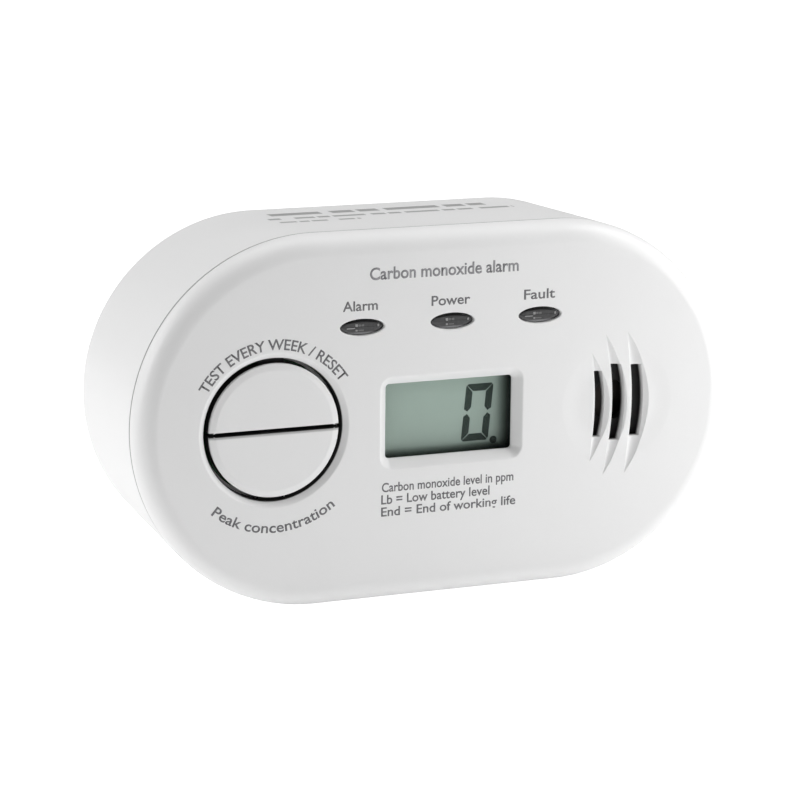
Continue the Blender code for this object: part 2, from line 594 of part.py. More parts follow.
def contact(name, side, low_level, high_level, lead_level=None):
    """Flat contact at one end of the bay, with a lead to the board on an end contact."""
    span = (MID_Z + low_level * CELL_PITCH - 5.6, MID_Z + high_level * CELL_PITCH + 5.6)
    x = sorted((side * CONTACT_FACE, side * (CONTACT_FACE + CONTACT)))
    plate = block(name, x, (BAY_FLOOR + GAP, BAY_FLOOR + 13.5), span)
    if lead_level is not None:
        z = MID_Z + lead_level * CELL_PITCH
        join(plate, block(f"{name}_lead", x, (BOARD_BACK + GAP, BAY_FLOOR + 1), (z - 1.1, z + 1.1)))
    return finish(plate, "steel")


def contacts():
    contact("battery_contact_1", -1, 0, 1)
    contact("battery_contact_2", -1, -1, -1, lead_level=-1)
    contact("battery_contact_3", 1, 1, 1, lead_level=1)
    contact("battery_contact_4", 1, -1, 0)


def main():
    for old in list(bpy.data.objects):
        bpy.data.objects.remove(old)
    front_cover()
    rear_housing()
    battery_door()
    button("test_button", 1)
    button("peak_button", -1)
    button_frame()
    switch("test", 1)
    switch("peak", -1)
    display()
    lights()
    sounder()
    circuit_board()
    screws()
    batteries()
    contacts()


main()
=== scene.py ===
"""Oval wall alarm with two press buttons, a small display and a battery door, made around its CAD frame."""

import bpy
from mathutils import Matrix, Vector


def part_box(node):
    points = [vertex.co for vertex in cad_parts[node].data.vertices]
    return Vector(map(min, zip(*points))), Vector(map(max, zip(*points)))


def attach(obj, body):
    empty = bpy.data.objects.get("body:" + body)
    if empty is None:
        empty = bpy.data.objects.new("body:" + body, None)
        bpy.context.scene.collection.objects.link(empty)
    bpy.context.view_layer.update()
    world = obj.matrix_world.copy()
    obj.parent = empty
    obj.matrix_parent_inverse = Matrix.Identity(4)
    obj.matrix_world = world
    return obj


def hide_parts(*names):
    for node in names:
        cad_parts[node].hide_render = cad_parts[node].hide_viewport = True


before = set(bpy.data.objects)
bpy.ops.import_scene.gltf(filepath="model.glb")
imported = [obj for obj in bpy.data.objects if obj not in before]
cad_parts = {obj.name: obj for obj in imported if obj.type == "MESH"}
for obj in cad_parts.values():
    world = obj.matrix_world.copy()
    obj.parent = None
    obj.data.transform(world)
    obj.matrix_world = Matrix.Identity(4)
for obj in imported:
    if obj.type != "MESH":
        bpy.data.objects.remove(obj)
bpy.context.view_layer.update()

from math import cos, hypot, pi, radians, sin

import bmesh
import bpy
from bpy.props import FloatProperty, FloatVectorProperty, IntProperty, PointerProperty
from mathutils import Matrix, Vector

bl_info = {
    "name": "Oval Wall Alarm",
    "version": (1, 0, 0),
    "blender": (4, 5, 0),
    "location": "View3D > Sidebar > Wall Alarm",
    "description": "Builds the visible pieces of an oval wall alarm around its CAD frame",
    "category": "Add Mesh",
}

MM = 0.001


def node_box(name):
    """Lowest and highest corner of a CAD piece, in millimetres."""
    low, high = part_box(name)
    return Vector(low) / MM, Vector(high) / MM


COVER_LOW, COVER_HIGH = node_box("front_cover")
WIDTH, HEIGHT = COVER_HIGH.x - COVER_LOW.x, COVER_HIGH.z - COVER_LOW.z
MID_Z = (COVER_HIGH.z + COVER_LOW.z) / 2
RADIUS = HEIGHT / 2
FLAT = WIDTH / 2 - RADIUS               # half the straight length of the oval
FACE, BACK = COVER_LOW.y, node_box("rear_housing")[1].y
SEAM = FACE + 4.6                       # where the cover meets the housing
INSIDE = FACE + 2.0                     # inner face of the cover
CLOSE = 1e-6                            # metres within which two places count as the same


def node_middle(name):
    """Middle of a CAD piece seen from the front: x, and the height from mid-height, in millimetres."""
    low, high = node_box(name)
    return (low.x + high.x) / 2, (low.z + high.z) / 2 - MID_Z


BUTTON_X = node_middle("test_button")[0]
BUTTON_Z = (node_box("test_button")[1].z + node_box("peak_button")[0].z) / 2 - MID_Z
BUTTON_BACK = INSIDE + 1.0
SCREEN_X, SCREEN_Z = node_middle("lcd_glass")
SEGMENT_FACE = node_box("lcd_glass")[0].y - 0.01
GRILLE = node_middle("sounder_case")
DOOR_LOW, DOOR_HIGH = (corner.z - MID_Z for corner in node_box("battery_door"))
LIGHTS = {name: node_middle(f"{name}_led")[0] for name in ("alarm", "power", "fault")}
LIGHT_Z = node_middle("alarm_led")[1]
COVER_SCREWS = [node_middle(f"cover_screw_{i}") for i in (1, 2, 3, 4)]


# ---------------------------------------------------------------- sizes and finishes that a user may change

def length(name, description, millimetres):
    return FloatProperty(name=name, description=description, default=millimetres * MM, unit="LENGTH")


def factor(name, description, value):
    return FloatProperty(name=name, description=description, default=value, min=0.0, max=1.0, subtype="FACTOR")


def colour(name, description, red, green, blue):
    return FloatVectorProperty(name=name, description=description, default=(red, green, blue), size=3,
                               min=0.0, max=1.0, subtype="COLOR")


class AlarmSizes(bpy.types.PropertyGroup):
    wall: length("Wall", "Thickness of the moulded shells", 2.0)
    fillet: length("Front fillet", "Radius round the edge of the front face", 4.1)
    back_fillet: length("Back fillet", "Radius round the edge of the back", 1.5)
    draft: length("Draft", "How much smaller the case is at the back, all round", 1.35)
    well: length("Button well", "Radius of the round well of the buttons", 13.4)
    button: length("Button", "Radius of the two half-round buttons together", 12.6)
    dish: length("Grille dish", "Depth of the shallow ring round the grille", 0.16)
    steps: IntProperty(name="Steps", description="Points round the case outline", default=192, min=48, max=384)


class AlarmFinishes(bpy.types.PropertyGroup):
    case: colour("Case", "Fine-textured white plastic", 0.8, 0.8, 0.8)
    button: colour("Buttons", "Satin white plastic", 0.8, 0.8, 0.8)
    ink: colour("Ink", "Printed lettering", 0.13, 0.13, 0.135)
    screen: colour("Display", "Grey-green liquid crystal", 0.36, 0.47, 0.41)
    segment: colour("Segments", "Dark liquid crystal segments", 0.022, 0.04, 0.032)
    smoked: colour("Windows", "Smoked windows over the lamps", 0.035, 0.035, 0.036)
    laminate: colour("Circuit board", "Solder mask", 0.03, 0.16, 0.06)
    case_roughness: factor("Case roughness", "Roughness of the white plastic", 0.42)


class AlarmStage(bpy.types.PropertyGroup):
    floor: colour("Floor", "Plain pale floor", 0.9, 0.9, 0.9)
    azimuth: FloatProperty(name="Azimuth", description="Where the camera stands, seen from above",
                           default=radians(-22.0), subtype="ANGLE", unit="ROTATION")
    elevation: FloatProperty(name="Elevation", description="How far the camera looks down",
                             default=radians(12.98), subtype="ANGLE", unit="ROTATION")
    roll: FloatProperty(name="Roll", description="Turn of the camera about its own line of sight",
                        default=radians(0.57), subtype="ANGLE", unit="ROTATION")
    distance: length("Distance", "From the camera to the case", 562.19)


# ---------------------------------------------------------------- modelling helpers

def at(x, y, z):
    """A place given from the case's middle and mid-height, in millimetres."""
    return Vector((x, y, MID_Z + z)) * MM


def nothing_selected():
    if bpy.context.object and bpy.context.object.mode != "OBJECT":
        bpy.ops.object.mode_set(mode="OBJECT")
    bpy.ops.object.select_all(action="DESELECT")


def only(piece):
    """Make this the one selected object."""
    nothing_selected()
    piece.select_set(True)
    bpy.context.view_layer.objects.active = piece


def settle(name):
    """Name the new primitive and put its place, turn and size into its mesh."""
    piece = bpy.context.object
    piece.name = piece.data.name = name
    bpy.ops.object.transform_apply(location=True, rotation=True, scale=True)
    return piece


def edit(piece):
    only(piece)
    bpy.ops.object.mode_set(mode="EDIT")


def edit_all(piece):
    """Open a piece in edit mode with all of it selected."""
    edit(piece)
    bpy.ops.mesh.select_mode(type="FACE")
    bpy.ops.mesh.select_all(action="SELECT")


def done():
    bpy.ops.object.mode_set(mode="OBJECT")


def choose(piece, kind, test):
    """In edit mode, select only the faces, edges or points that pass the test."""
    bpy.ops.mesh.select_mode(type=kind)
    bpy.ops.mesh.select_all(action="DESELECT")
    mesh = bmesh.from_edit_mesh(piece.data)
    for item in {"FACE": mesh.faces, "EDGE": mesh.edges, "VERT": mesh.verts}[kind]:
        if test(item):
            item.select_set(True)
    mesh.select_flush_mode()
    bmesh.update_edit_mesh(piece.data)


def shift(x=0.0, y=0.0, z=0.0):
    bpy.ops.transform.translate(value=(x * MM, y * MM, z * MM))


def extrude(x=0.0, y=0.0, z=0.0):
    bpy.ops.mesh.extrude_region_move(TRANSFORM_OT_translate={"value": (x * MM, y * MM, z * MM)})


def inset_steps(steps):
    """Inset the chosen face again and again: each step is (how far in, how far out along its normal)."""
    for inward, along in steps:
        bpy.ops.mesh.inset(thickness=inward * MM, depth=along * MM, use_even_offset=True, use_boundary=True)


def bevel(width, segments, affect="EDGES"):
    bpy.ops.mesh.bevel(offset=width * MM, offset_type="OFFSET", segments=segments, profile=0.5, affect=affect)


def face_outwards(piece):
    edit_all(piece)
    bpy.ops.mesh.normals_make_consistent(inside=False)
    done()
    return piece


def modify(piece, kind, **settings):
    """Add a modifier with these settings and apply it."""
    only(piece)
    modifier = piece.modifiers.new(kind.title(), kind)
    for key, value in settings.items():
        setattr(modifier, key, value)
    bpy.ops.object.modifier_apply(modifier=modifier.name)
    return piece


def combine(piece, operation, *tools):
    """Cut, join or intersect a piece with each tool, which is then removed."""
    for tool in tools:
        only(piece)
        modifier = piece.modifiers.new("Combine", "BOOLEAN")
        modifier.operation, modifier.solver, modifier.object = operation, "MANIFOLD", tool
        bpy.ops.object.modifier_apply(modifier=modifier.name)
        bpy.data.objects.remove(tool)
    return piece


def cut(piece, *tools):
    return combine(piece, "DIFFERENCE", *tools)


def join(piece, *tools):
    return combine(piece, "UNION", *tools)


def disc(name, radius, x, y, z, facing=-1, half_height=None, steps=96):
    """Flat round or oval face that looks forwards (-1) or backwards (+1)."""
    nothing_selected()
    turn = pi / steps if half_height is None else 0.0
    bpy.ops.mesh.primitive_circle_add(vertices=steps, radius=radius * MM, fill_type="NGON", location=at(x, y, z),
                                      rotation=(-facing * pi / 2, turn, 0))
    bpy.context.object.scale = (1, (half_height or radius) / radius, 1)
    return settle(name)


def panel(name, half_x, half_z, corner, x, y, z, facing=-1, steps=6):
    """Flat rectangular face with round corners."""
    nothing_selected()
    bpy.ops.mesh.primitive_plane_add(size=2 * MM, location=at(x, y, z), rotation=(-facing * pi / 2, 0, 0))
    bpy.context.object.scale = (half_x, half_z, 1)
    piece = settle(name)
    if corner:
        edit_all(piece)
        bevel(corner, steps, "VERTICES")
        done()
    return piece


def case_oval(name, inward, y, facing, steps):
    """Outline of the case, or of something the same distance inside it all round."""
    piece = disc(name, RADIUS - inward, 0, y, 0, facing, steps=steps)
    edit(piece)
    for side in (-1, 1):
        choose(piece, "VERT", lambda v: v.co.x * side > 0)
        shift(x=side * FLAT)
    done()
    return piece


def deepen(piece, along, steps=()):
    """Give a flat piece thickness along Y, then step its far face on."""
    edit_all(piece)
    extrude(y=along)
    inset_steps(steps)
    done()
    return face_outwards(piece)


def post(name, x, z, radius, near, far, steps=40, taper=()):
    """Round post along Y between two depths."""
    facing = 1 if far > near else -1
    return deepen(disc(name, radius, x, near, z, facing, steps=steps), far - near, taper)


def block(name, x, y, z):
    """Rough block between two places on each axis, z from mid-height, used to join or cut."""
    nothing_selected()
    middle = at(sum(x) / 2, sum(y) / 2, sum(z) / 2)
    bpy.ops.mesh.primitive_cube_add(size=MM, location=middle)
    bpy.context.object.scale = (x[1] - x[0], y[1] - y[0], z[1] - z[0])
    return settle(name)


def rod(name, radius, x, y, z, steps):
    """Round rod along X between two places."""
    nothing_selected()
    bpy.ops.mesh.primitive_cylinder_add(vertices=steps, radius=radius * MM, depth=(x[1] - x[0]) * MM,
                                        location=at(sum(x) / 2, y, z), rotation=(0, pi / 2, 0))
    return settle(name)


def hollow(shell, wall, rim):
    """Give an open shell its walls, and soften the outer edge of its rim."""
    modify(shell, "SOLIDIFY", thickness=wall, offset=-1, use_even_offset=True, use_rim=True)
    edit(shell)
    choose(shell, "EDGE", lambda e: all(
        abs(v.co.y - rim * MM) < CLOSE
        and hypot(max(abs(v.co.x) / MM - FLAT, 0), v.co.z / MM - MID_Z) > RADIUS - 0.2 for v in e.verts))
    bevel(0.3, 3)
    done()


def round_edges(piece, width, angle=25.0, segments=3):
    """Small soft radius on every edge sharper than the angle."""
    return modify(piece, "BEVEL", width=width * MM, segments=segments, limit_method="ANGLE",
                  angle_limit=radians(angle), use_clamp_overlap=True, miter_outer="MITER_ARC")


def smooth(piece, angle=30.0):
    """Smooth shading that keeps flat faces flat."""
    only(piece)
    bpy.ops.object.shade_smooth_by_angle(angle=radians(angle), keep_sharp_edges=False)
    return modify(piece, "WEIGHTED_NORMAL", mode="FACE_AREA", weight=100, keep_sharp=True, thresh=0.01)


def copy_to(piece, name, x, y, z):
    """Copy with its own mesh, moved by this much."""
    only(piece)
    bpy.ops.object.duplicate(linked=False)
    twin = bpy.context.object
    twin.name = twin.data.name = name
    bpy.ops.transform.translate(value=(x * MM, y * MM, z * MM))
    bpy.ops.object.transform_apply(location=True, rotation=True, scale=True)
    return twin


def dress(piece, material):
    piece.data.materials.clear()
    piece.data.materials.append(material)


def finish(piece, material, body="alarm", stands_for=()):
    """Hand a finished piece over: its material, its body, and the CAD pieces it stands for."""
    dress(piece, material)
    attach(piece, body)
    if stands_for:
        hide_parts(*stands_for)
    return piece


def coat(material, *names):
    """Give CAD pieces that stay their material."""
    for name in names:
        dress(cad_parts[name], material)


# ---------------------------------------------------------------- material helpers

class Field:
    """A value that changes over a surface. Arithmetic on it adds Math nodes to its own node tree."""

    def __init__(self, socket):
        self.socket, self.tree = socket, socket.id_data

    def calc(self, operation, *values):
        return add(self.tree, "ShaderNodeMath", dict(enumerate(values)), operation=operation)

    def __add__(self, other):
        return self.calc("ADD", self, other)

    def __sub__(self, other):
        return self.calc("SUBTRACT", self, other)

    def __rsub__(self, other):
        return self.calc("SUBTRACT", other, self)

    def __mul__(self, other):
        return self.calc("MULTIPLY", self, other)

    def __truediv__(self, other):
        return self.calc("DIVIDE", self, other)

    def __pow__(self, other):
        return self.calc("POWER", self, other)

    def __lt__(self, other):
        return self.calc("LESS_THAN", self, other)

    def __gt__(self, other):
        return self.calc("GREATER_THAN", self, other)

    def __abs__(self):
        return self.calc("ABSOLUTE", self)

    __radd__ = __add__


def wire(value, socket):
    """Link a field to a socket, or set a plain value on it."""
    if isinstance(value, Field):
        socket.id_data.links.new(value.socket, socket)
    else:
        socket.default_value = value


def add(tree, kind, inputs=None, output=0, **settings):
    """Add a node and give back one of its outputs."""
    node = tree.nodes.new(kind)
    for key, value in settings.items():
        setattr(node, key, value)
    for key, value in (inputs or {}).items():
        wire(value, node.inputs[key])
    return Field(node.outputs[output])


def feed(shader, **values):
    """Wire values to the shader's sockets."""
    for key, value in values.items():
        wire(value, shader[key.replace("_", " ")])


def either(first, second):
    return first.calc("MAXIMUM", first, second)


def within(value, middle, half):
    """1 where the value is nearer to the middle than this, else 0."""
    return abs(value - middle) < half


def remap(value, low, high, to_low=0.0, to_high=1.0, kind="SMOOTHSTEP"):
    """Map a value between two limits, held at both ends."""
    inputs = {"Value": value, "From Min": low, "From Max": high, "To Min": to_low, "To Max": to_high}
    return add(value.tree, "ShaderNodeMapRange", inputs, interpolation_type=kind, clamp=True)


def blend(share, first, second):
    """Mix two colours."""
    return add(share.tree, "ShaderNodeMix", {0: share, 6: first, 7: second}, 2, data_type="RGBA")


def scaled(colour, amount):
    return add(amount.tree, "ShaderNodeVectorMath", {0: colour, "Scale": amount}, operation="SCALE")


def noise(where, scale, detail=3.0):
    inputs = {"Vector": where, "Scale": scale, "Detail": detail, "Roughness": 0.55}
    return add(where.tree, "ShaderNodeTexNoise", inputs, "Fac")


def stretched(where, scale, rotation=(0, 0, 0)):
    return add(where.tree, "ShaderNodeMapping", {"Vector": where, "Rotation": rotation, "Scale": scale})


def spot(tree):
    """Where on the object, in metres."""
    return add(tree, "ShaderNodeTexCoord", output="Object")


def axes(where):
    """The place as at() counts it: x, y and the height from mid-height, in millimetres."""
    inputs = {"Vector": where, "Location": (0, 0, -MID_Z), "Scale": (1 / MM, 1 / MM, 1 / MM)}
    place = add(where.tree, "ShaderNodeMapping", inputs)
    return [Field(part) for part in add(where.tree, "ShaderNodeSeparateXYZ", {0: place}).socket.node.outputs]


def rgba(values, times=1.0):
    return tuple(min(1.0, v * times) for v in values) + (1.0,)


def new_group(name, inputs, outputs):
    """A shader node group: its inputs with their values, and its outputs with their kinds."""
    tree = bpy.data.node_groups.new(name, "ShaderNodeTree")
    for label, value in inputs.items():
        kind = "NodeSocketFloat" if isinstance(value, float) else "NodeSocketColor"
        tree.interface.new_socket(label, in_out="INPUT", socket_type=kind).default_value = value
    for label, kind in outputs.items():
        tree.interface.new_socket(label, in_out="OUTPUT", socket_type=f"NodeSocket{kind}")
    given = {socket.name: Field(socket) for socket in tree.nodes.new("NodeGroupInput").outputs if socket.name}
    return tree, given, tree.nodes.new("NodeGroupOutput").inputs


def moulded_skin():
    """Fine grain, slow unevenness and a slight colour drift of a moulded surface."""
    tree, given, out = new_group(
        "Moulded skin", {"Colour": rgba((0.8, 0.8, 0.8)), "Grain size": 2500.0, "Drift": 0.02, "Roughness": 0.45},
        {"Colour": "Color", "Roughness": "Float", "Height": "Float"})
    where = spot(tree)
    slow, fine = noise(where, 45.0, 2.0), noise(where, given["Grain size"], 2.0)
    drift, speck = (slow - 0.5) * given["Drift"], (fine - 0.5) * (given["Drift"] * 1.2)
    wire(scaled(given["Colour"], 1.0 + (drift + speck)), out["Colour"])
    wire(given["Roughness"] + (slow - 0.5) * 0.12, out["Roughness"])
    wire(fine + slow * 0.6, out["Height"])
    return tree


def handling_marks():
    """Hairline scratches and a little dust, as a mask."""
    tree, given, out = new_group("Handling marks", {"Scale": 60.0, "Amount": 0.3}, {"Mask": "Float"})
    where = spot(tree)
    drawn = stretched(where, (1, 9, 5), (0.4, 0.7, 0.9))
    lines = add(tree, "ShaderNodeTexNoise", {"Vector": drawn, "Scale": given["Scale"], "Detail": 4.0}, "Fac")
    thin = remap(abs(lines - 0.5), 0.0, 0.012, 1.0, 0.0)
    patch = remap(noise(where, 70.0, 2.0), 0.5, 0.68)
    wire(thin * patch * given["Amount"], out["Mask"])
    return tree


def bar_rows():
    """Rows of short printed bars that stand for small print, as a mask over (u, v) in millimetres."""
    tree, given, out = new_group(
        "Bar rows", {"U": 0.0, "V": 0.0, "Pitch": 1.8, "Height": 0.5, "Word": 3.0}, {"Mask": "Float"})
    level = given["V"] / given["Pitch"]
    row, inside = level.calc("FLOOR", level), level.calc("FRACT", level)
    along = given["U"] / given["Word"] + row * 0.37
    wobble = along.calc("SINE", along * 2.3) * 0.3
    word = along.calc("FRACT", along + wobble) < 0.8
    wire((inside < given["Height"]) * word, out["Mask"])
    return tree


GROUPS = {}


def effect(tree, name, **inputs):
    """Place a shared effect in a material with its own values."""
    makers = {"skin": moulded_skin, "marks": handling_marks, "bars": bar_rows}
    if name not in GROUPS:
        GROUPS[name] = makers[name]()
    node = tree.nodes.new("ShaderNodeGroup")
    node.node_tree = GROUPS[name]
    feed(node.inputs, **inputs)
    return {output.name: Field(output) for output in node.outputs}


def new_material(name, **plain):
    """An empty Principled material; plain values go on the shader's own sockets."""
    material = bpy.data.materials.new(name)
    material.use_nodes = True
    shader = material.node_tree.nodes["Principled BSDF"].inputs
    feed(shader, **plain)
    return material, material.node_tree, shader


def bumped(shader, height, strength, distance):
    inputs = {"Height": height, "Strength": strength, "Distance": distance * MM}
    feed(shader, Normal=add(height.tree, "ShaderNodeBump", inputs))


def moulded(name, base, roughness, grain=2500.0, strength=0.25, drift=0.02, marks=0.1, **plain):
    """Moulded plastic or rubber: grain, slow drift and a few handling marks."""
    material, tree, shader = new_material(name, **plain)
    skin = effect(tree, "skin", Colour=rgba(base), Grain_size=grain, Drift=drift, Roughness=roughness)
    mask = effect(tree, "marks", Amount=marks)["Mask"]
    feed(shader, Base_Color=blend(mask, skin["Colour"], rgba(base, 0.82)), Roughness=skin["Roughness"] + mask * 0.2)
    bumped(shader, skin["Height"], strength, 0.02)
    return material


def metal(name, base, roughness, stretch=(1, 1, 30), tarnish=0.25):
    """Drawn or rolled metal with fine lines along one direction and a slight tarnish."""
    material, tree, shader = new_material(name, Metallic=1.0)
    where = spot(tree)
    lines = noise(stretched(where, stretch), 900.0, 3.0)
    dull = remap(noise(where, 160.0, 4.0), 0.45, 0.75, 0.0, tarnish)
    rough = remap(lines, 0.2, 0.8, roughness - 0.06, roughness + 0.08) + dull
    feed(shader, Base_Color=blend(dull, rgba(base), rgba(base, 0.55)), Roughness=rough)
    bumped(shader, lines, 0.15, 0.02)
    return material


# ---------------------------------------------------------------- materials

# rows of bars on the top: middle and half depth in y, left and right end in x, length of a word
TOP_ROWS = [(9.9, 1.6, -24.7, 20.6, 8.0), (4.0, 0.9, -26.2, 24.4, 5.0), (-0.9, 0.7, -25.6, -9.4, 4.0)]
WELL_SHADE = 14.9                       # radius inside which the button well is shaded
GRILLE_SHADE = (9.0, 12.0)              # half width and half height of the shaded grille


def case_plastic(base, roughness):
    """White case plastic: painted deep shade in the button well and the grille, a painted shade line along the seam,
    rows of blank bars on the top.
    """
    material, tree, shader = new_material("White shell plastic")
    skin = effect(tree, "skin", Colour=rgba(base), Grain_size=2300.0, Drift=0.015, Roughness=roughness)
    x, y, z = axes(spot(tree))
    across = (x - BUTTON_X) ** 2.0 + (z - BUTTON_Z) ** 2.0
    # painted shade: near black deep in the button well and behind the grille openings, where little light reaches
    well = (across.calc("SQRT", across) < WELL_SHADE) * remap(y, FACE + 0.72, FACE + 0.92)
    vents = within(x, GRILLE[0], GRILLE_SHADE[0]) * remap(y, FACE + 1.15, FACE + 2.3)
    vents = vents * within(z, GRILLE[1], GRILLE_SHADE[1])
    shade = either(well, vents) * (y < INSIDE + 1.2)
    # painted shade: a grey line along the seam between cover and housing, for the shaded groove
    seam_shade = remap(abs(y - (SEAM + 0.1)), 0.2, 0.32, 0.75, 0.0)
    rows = []
    for middle, half, left, right, word in TOP_ROWS:
        bars = effect(tree, "bars", U=x, V=middle, Pitch=4.0, Height=1.0, Word=word)["Mask"]
        rows.append(within(y, middle, half) * within(x, (left + right) / 2, (right - left) / 2) * bars)
    small_print = either(either(rows[0], rows[1]), rows[2]) * (z > RADIUS - 2.5) * 0.65
    plain = blend(seam_shade, blend(small_print, skin["Colour"], rgba((0.12, 0.12, 0.12))), rgba(base, 0.25))
    feed(shader, Base_Color=blend(shade, plain, rgba((0.012, 0.012, 0.012))),
         Roughness=either(skin["Roughness"], shade * 0.9))
    bumped(shader, skin["Height"], 0.3, 0.012)
    return material


def button_plastic(base, roughness):
    """White button plastic with painted shade: near black on the deep sides that face the well and the slit, and a
    grey painted shadow on the lower button just below the slit.
    """
    material, tree, shader = new_material("Button plastic")
    skin = effect(tree, "skin", Colour=rgba(base), Grain_size=2600.0, Drift=0.012, Roughness=roughness)
    x, y, z = axes(spot(tree))
    above = z - BUTTON_Z
    # painted shade: near black on the deep sides in the well ring and along the slit
    ring = remap(y, FACE + 0.65, FACE + 1.1)
    slit = remap(abs(above), 0.4, 0.5, 1.0, 0.0) * remap(y, FACE + 0.03, FACE + 0.16)
    # painted shadow: a grey band on the lower button just below the slit
    ledge_shadow = remap(above, -1.0, -0.6) * (above < 0.0)
    # grey level of the painted shade, a little lighter where the flexure tabs sit in the gap
    tab_shade_level = remap(abs(x - BUTTON_X), 2.5, 2.7, 0.035, 0.008)
    dark = add(tree, "ShaderNodeCombineColor", {0: tab_shade_level, 1: tab_shade_level, 2: tab_shade_level})
    light = blend(ledge_shadow * 0.5, skin["Colour"], rgba((0.1, 0.1, 0.1)))
    shade = either(ring, slit)
    feed(shader, Base_Color=blend(shade, light, dark), Roughness=either(skin["Roughness"], shade * 0.9))
    bumped(shader, skin["Height"], 0.2, 0.012)
    return material


def liquid_crystal(base):
    """Reflective display glass with painted shade towards the hidden right and lower edges, where they lie under the
    cover wall.
    """
    material, tree, shader = new_material("Liquid crystal", Coat_Roughness=0.08, IOR=1.5)
    where = spot(tree)
    x, _, z = axes(where)
    speck, cloud = noise(where, 4200.0, 2.0), noise(where, 120.0, 2.0)
    tone = 0.97 + ((speck - 0.5) * 0.12 + (cloud - 0.5) * 0.10)
    # painted shade: darker towards the right and lower edges, under the cover wall
    edge = either(remap(x, 11.9, 15.5), remap(z, -8.8, -6.6, 1.0, 0.0))
    feed(shader, Base_Color=blend(edge, scaled(rgba(base)[:3], tone), rgba((0.006, 0.015, 0.01))),
         Roughness=remap(speck, 0.0, 1.0, 0.28, 0.4, "LINEAR"))
    bumped(shader, speck, 0.05, 0.01)
    return material


def clear_window():
    """Thin polished window that shows what lies behind it."""
    material, tree, shader = new_material("Clear window", Base_Color=rgba((0.75, 0.8, 0.78)))
    marks = effect(tree, "marks", Scale=90.0, Amount=0.5)["Mask"]
    feed(shader, Alpha=remap(marks, 0.0, 1.0, 0.015, 0.06, "LINEAR"),
         Roughness=remap(noise(spot(tree), 300.0), 0.3, 0.7, 0.04, 0.09))
    return material


def smoked_window(base):
    """Smoked lamp window with a soft polish, a painted shadow along the top and a painted pale rim along the bottom
    for the lit lower wall of its hole.
    """
    material, tree, shader = new_material("Smoked window", Coat_Weight=0.2, Coat_Roughness=0.1)
    where = spot(tree)
    cloud = noise(where, 900.0, 3.0)
    above = axes(where)[2] - LIGHT_Z
    smoke = blend(remap(cloud, 0.3, 0.7), rgba(base, 0.75), rgba(base, 1.25))
    # painted shadow: black along the top, under the upper wall of the hole
    smoke = blend(remap(above, 0.62, 0.85), smoke, rgba((0.003, 0.003, 0.003)))
    # painted light: paler along the lower rim, in place of the lit lower wall of the hole
    smoke = blend(remap(above, -1.15, -0.9, 1.0, 0.0), smoke, rgba(base, 6.0))
    feed(shader, Base_Color=smoke, Roughness=remap(cloud, 0.0, 1.0, 0.18, 0.3, "LINEAR"))
    bumped(shader, cloud, 0.05, 0.02)
    return material


def lamp(name, base):
    """Diffused epoxy lamp, milky towards its tip."""
    material, tree, shader = new_material(name, Subsurface_Weight=0.2, Subsurface_Scale=0.001)
    where = spot(tree)
    milky = remap(axes(where)[1], INSIDE + 1.4, INSIDE + 4, 0.55, 0.1)
    body = blend(noise(where, 1500.0), rgba(base, 0.9), rgba(base, 1.1))
    feed(shader, Base_Color=blend(milky, body, rgba((0.75, 0.72, 0.7))),
         Roughness=remap(noise(where, 700.0), 0.3, 0.7, 0.12, 0.25))
    return material


def laminate(base):
    """Green circuit board: copper traces under the mask, round pads and the glass weave."""
    material, tree, shader = new_material("Circuit board", Coat_Weight=0.3, Coat_Roughness=0.25)
    where = spot(tree)
    parts = add(tree, "ShaderNodeSeparateXYZ", {0: where}).socket.node.outputs
    flat = add(tree, "ShaderNodeCombineXYZ", {0: Field(parts[0]), 1: Field(parts[2])})
    runs = []
    for scale, width, row in ((150.0, 1.9, 0.45), (95.0, 0.4, 1.6)):
        inputs = {"Vector": flat, "Scale": scale, "Mortar Size": 0.045, "Mortar Smooth": 0.2, "Brick Width": width,
                  "Row Height": row}
        runs.append(add(tree, "ShaderNodeTexBrick", inputs, "Fac", offset=0.37, squash=0.6, squash_frequency=3))
    patch = remap(noise(where, 90.0, 1.0), 0.47, 0.49)
    trace = add(tree, "ShaderNodeMix", {0: patch, 2: runs[0], 3: runs[1]})
    dots = add(tree, "ShaderNodeTexVoronoi", {"Vector": where, "Scale": 260.0, "Randomness": 0.55}, "Distance",
               feature="F1")
    pad = remap(dots, 0.16, 0.2, 1.0, 0.0)
    weave = add(tree, "ShaderNodeTexWave", {"Vector": where, "Scale": 900.0, "Distortion": 0.6}, "Fac")
    mask = blend(trace, blend(weave, rgba(base, 0.85), rgba(base, 1.1)), rgba(base, 1.8))
    feed(shader, Base_Color=blend(pad, mask, rgba((0.62, 0.6, 0.56))), Metallic=pad * 0.9,
         Roughness=remap(weave, 0.0, 1.0, 0.32, 0.42, "LINEAR"))
    bumped(shader, trace + weave * 0.2, 0.4, 0.05)
    return material


LABEL_FOOT = -16.0                      # height of the label's lower edge, from mid-height


def label_paper():
    """White label with an empty frame and rows of plain bars in place of small print."""
    material, tree, shader = new_material("Label")
    where = spot(tree)
    x, _, z = axes(where)
    u, v = x * -1.0, z - LABEL_FOOT
    bars = effect(tree, "bars", U=u, V=v, Pitch=1.9, Height=0.42, Word=4.2)["Mask"]
    ink = bars * ((u > -21.5) * (u < 8.0)) * ((v > 3.0) * (v < 22.0))
    off = either(abs(u - 15.5), abs(v - 15.5))
    square = (off < 5.0) * (off > 4.6)
    paper = blend(noise(where, 1400.0, 4.0), rgba((0.8, 0.8, 0.78)), rgba((0.86, 0.86, 0.84)))
    feed(shader, Base_Color=blend(either(ink, square), paper, rgba((0.12, 0.12, 0.13))),
         Roughness=remap(noise(where, 500.0), 0.3, 0.7, 0.5, 0.65))
    bumped(shader, noise(where, 3000.0), 0.1, 0.01)
    return material


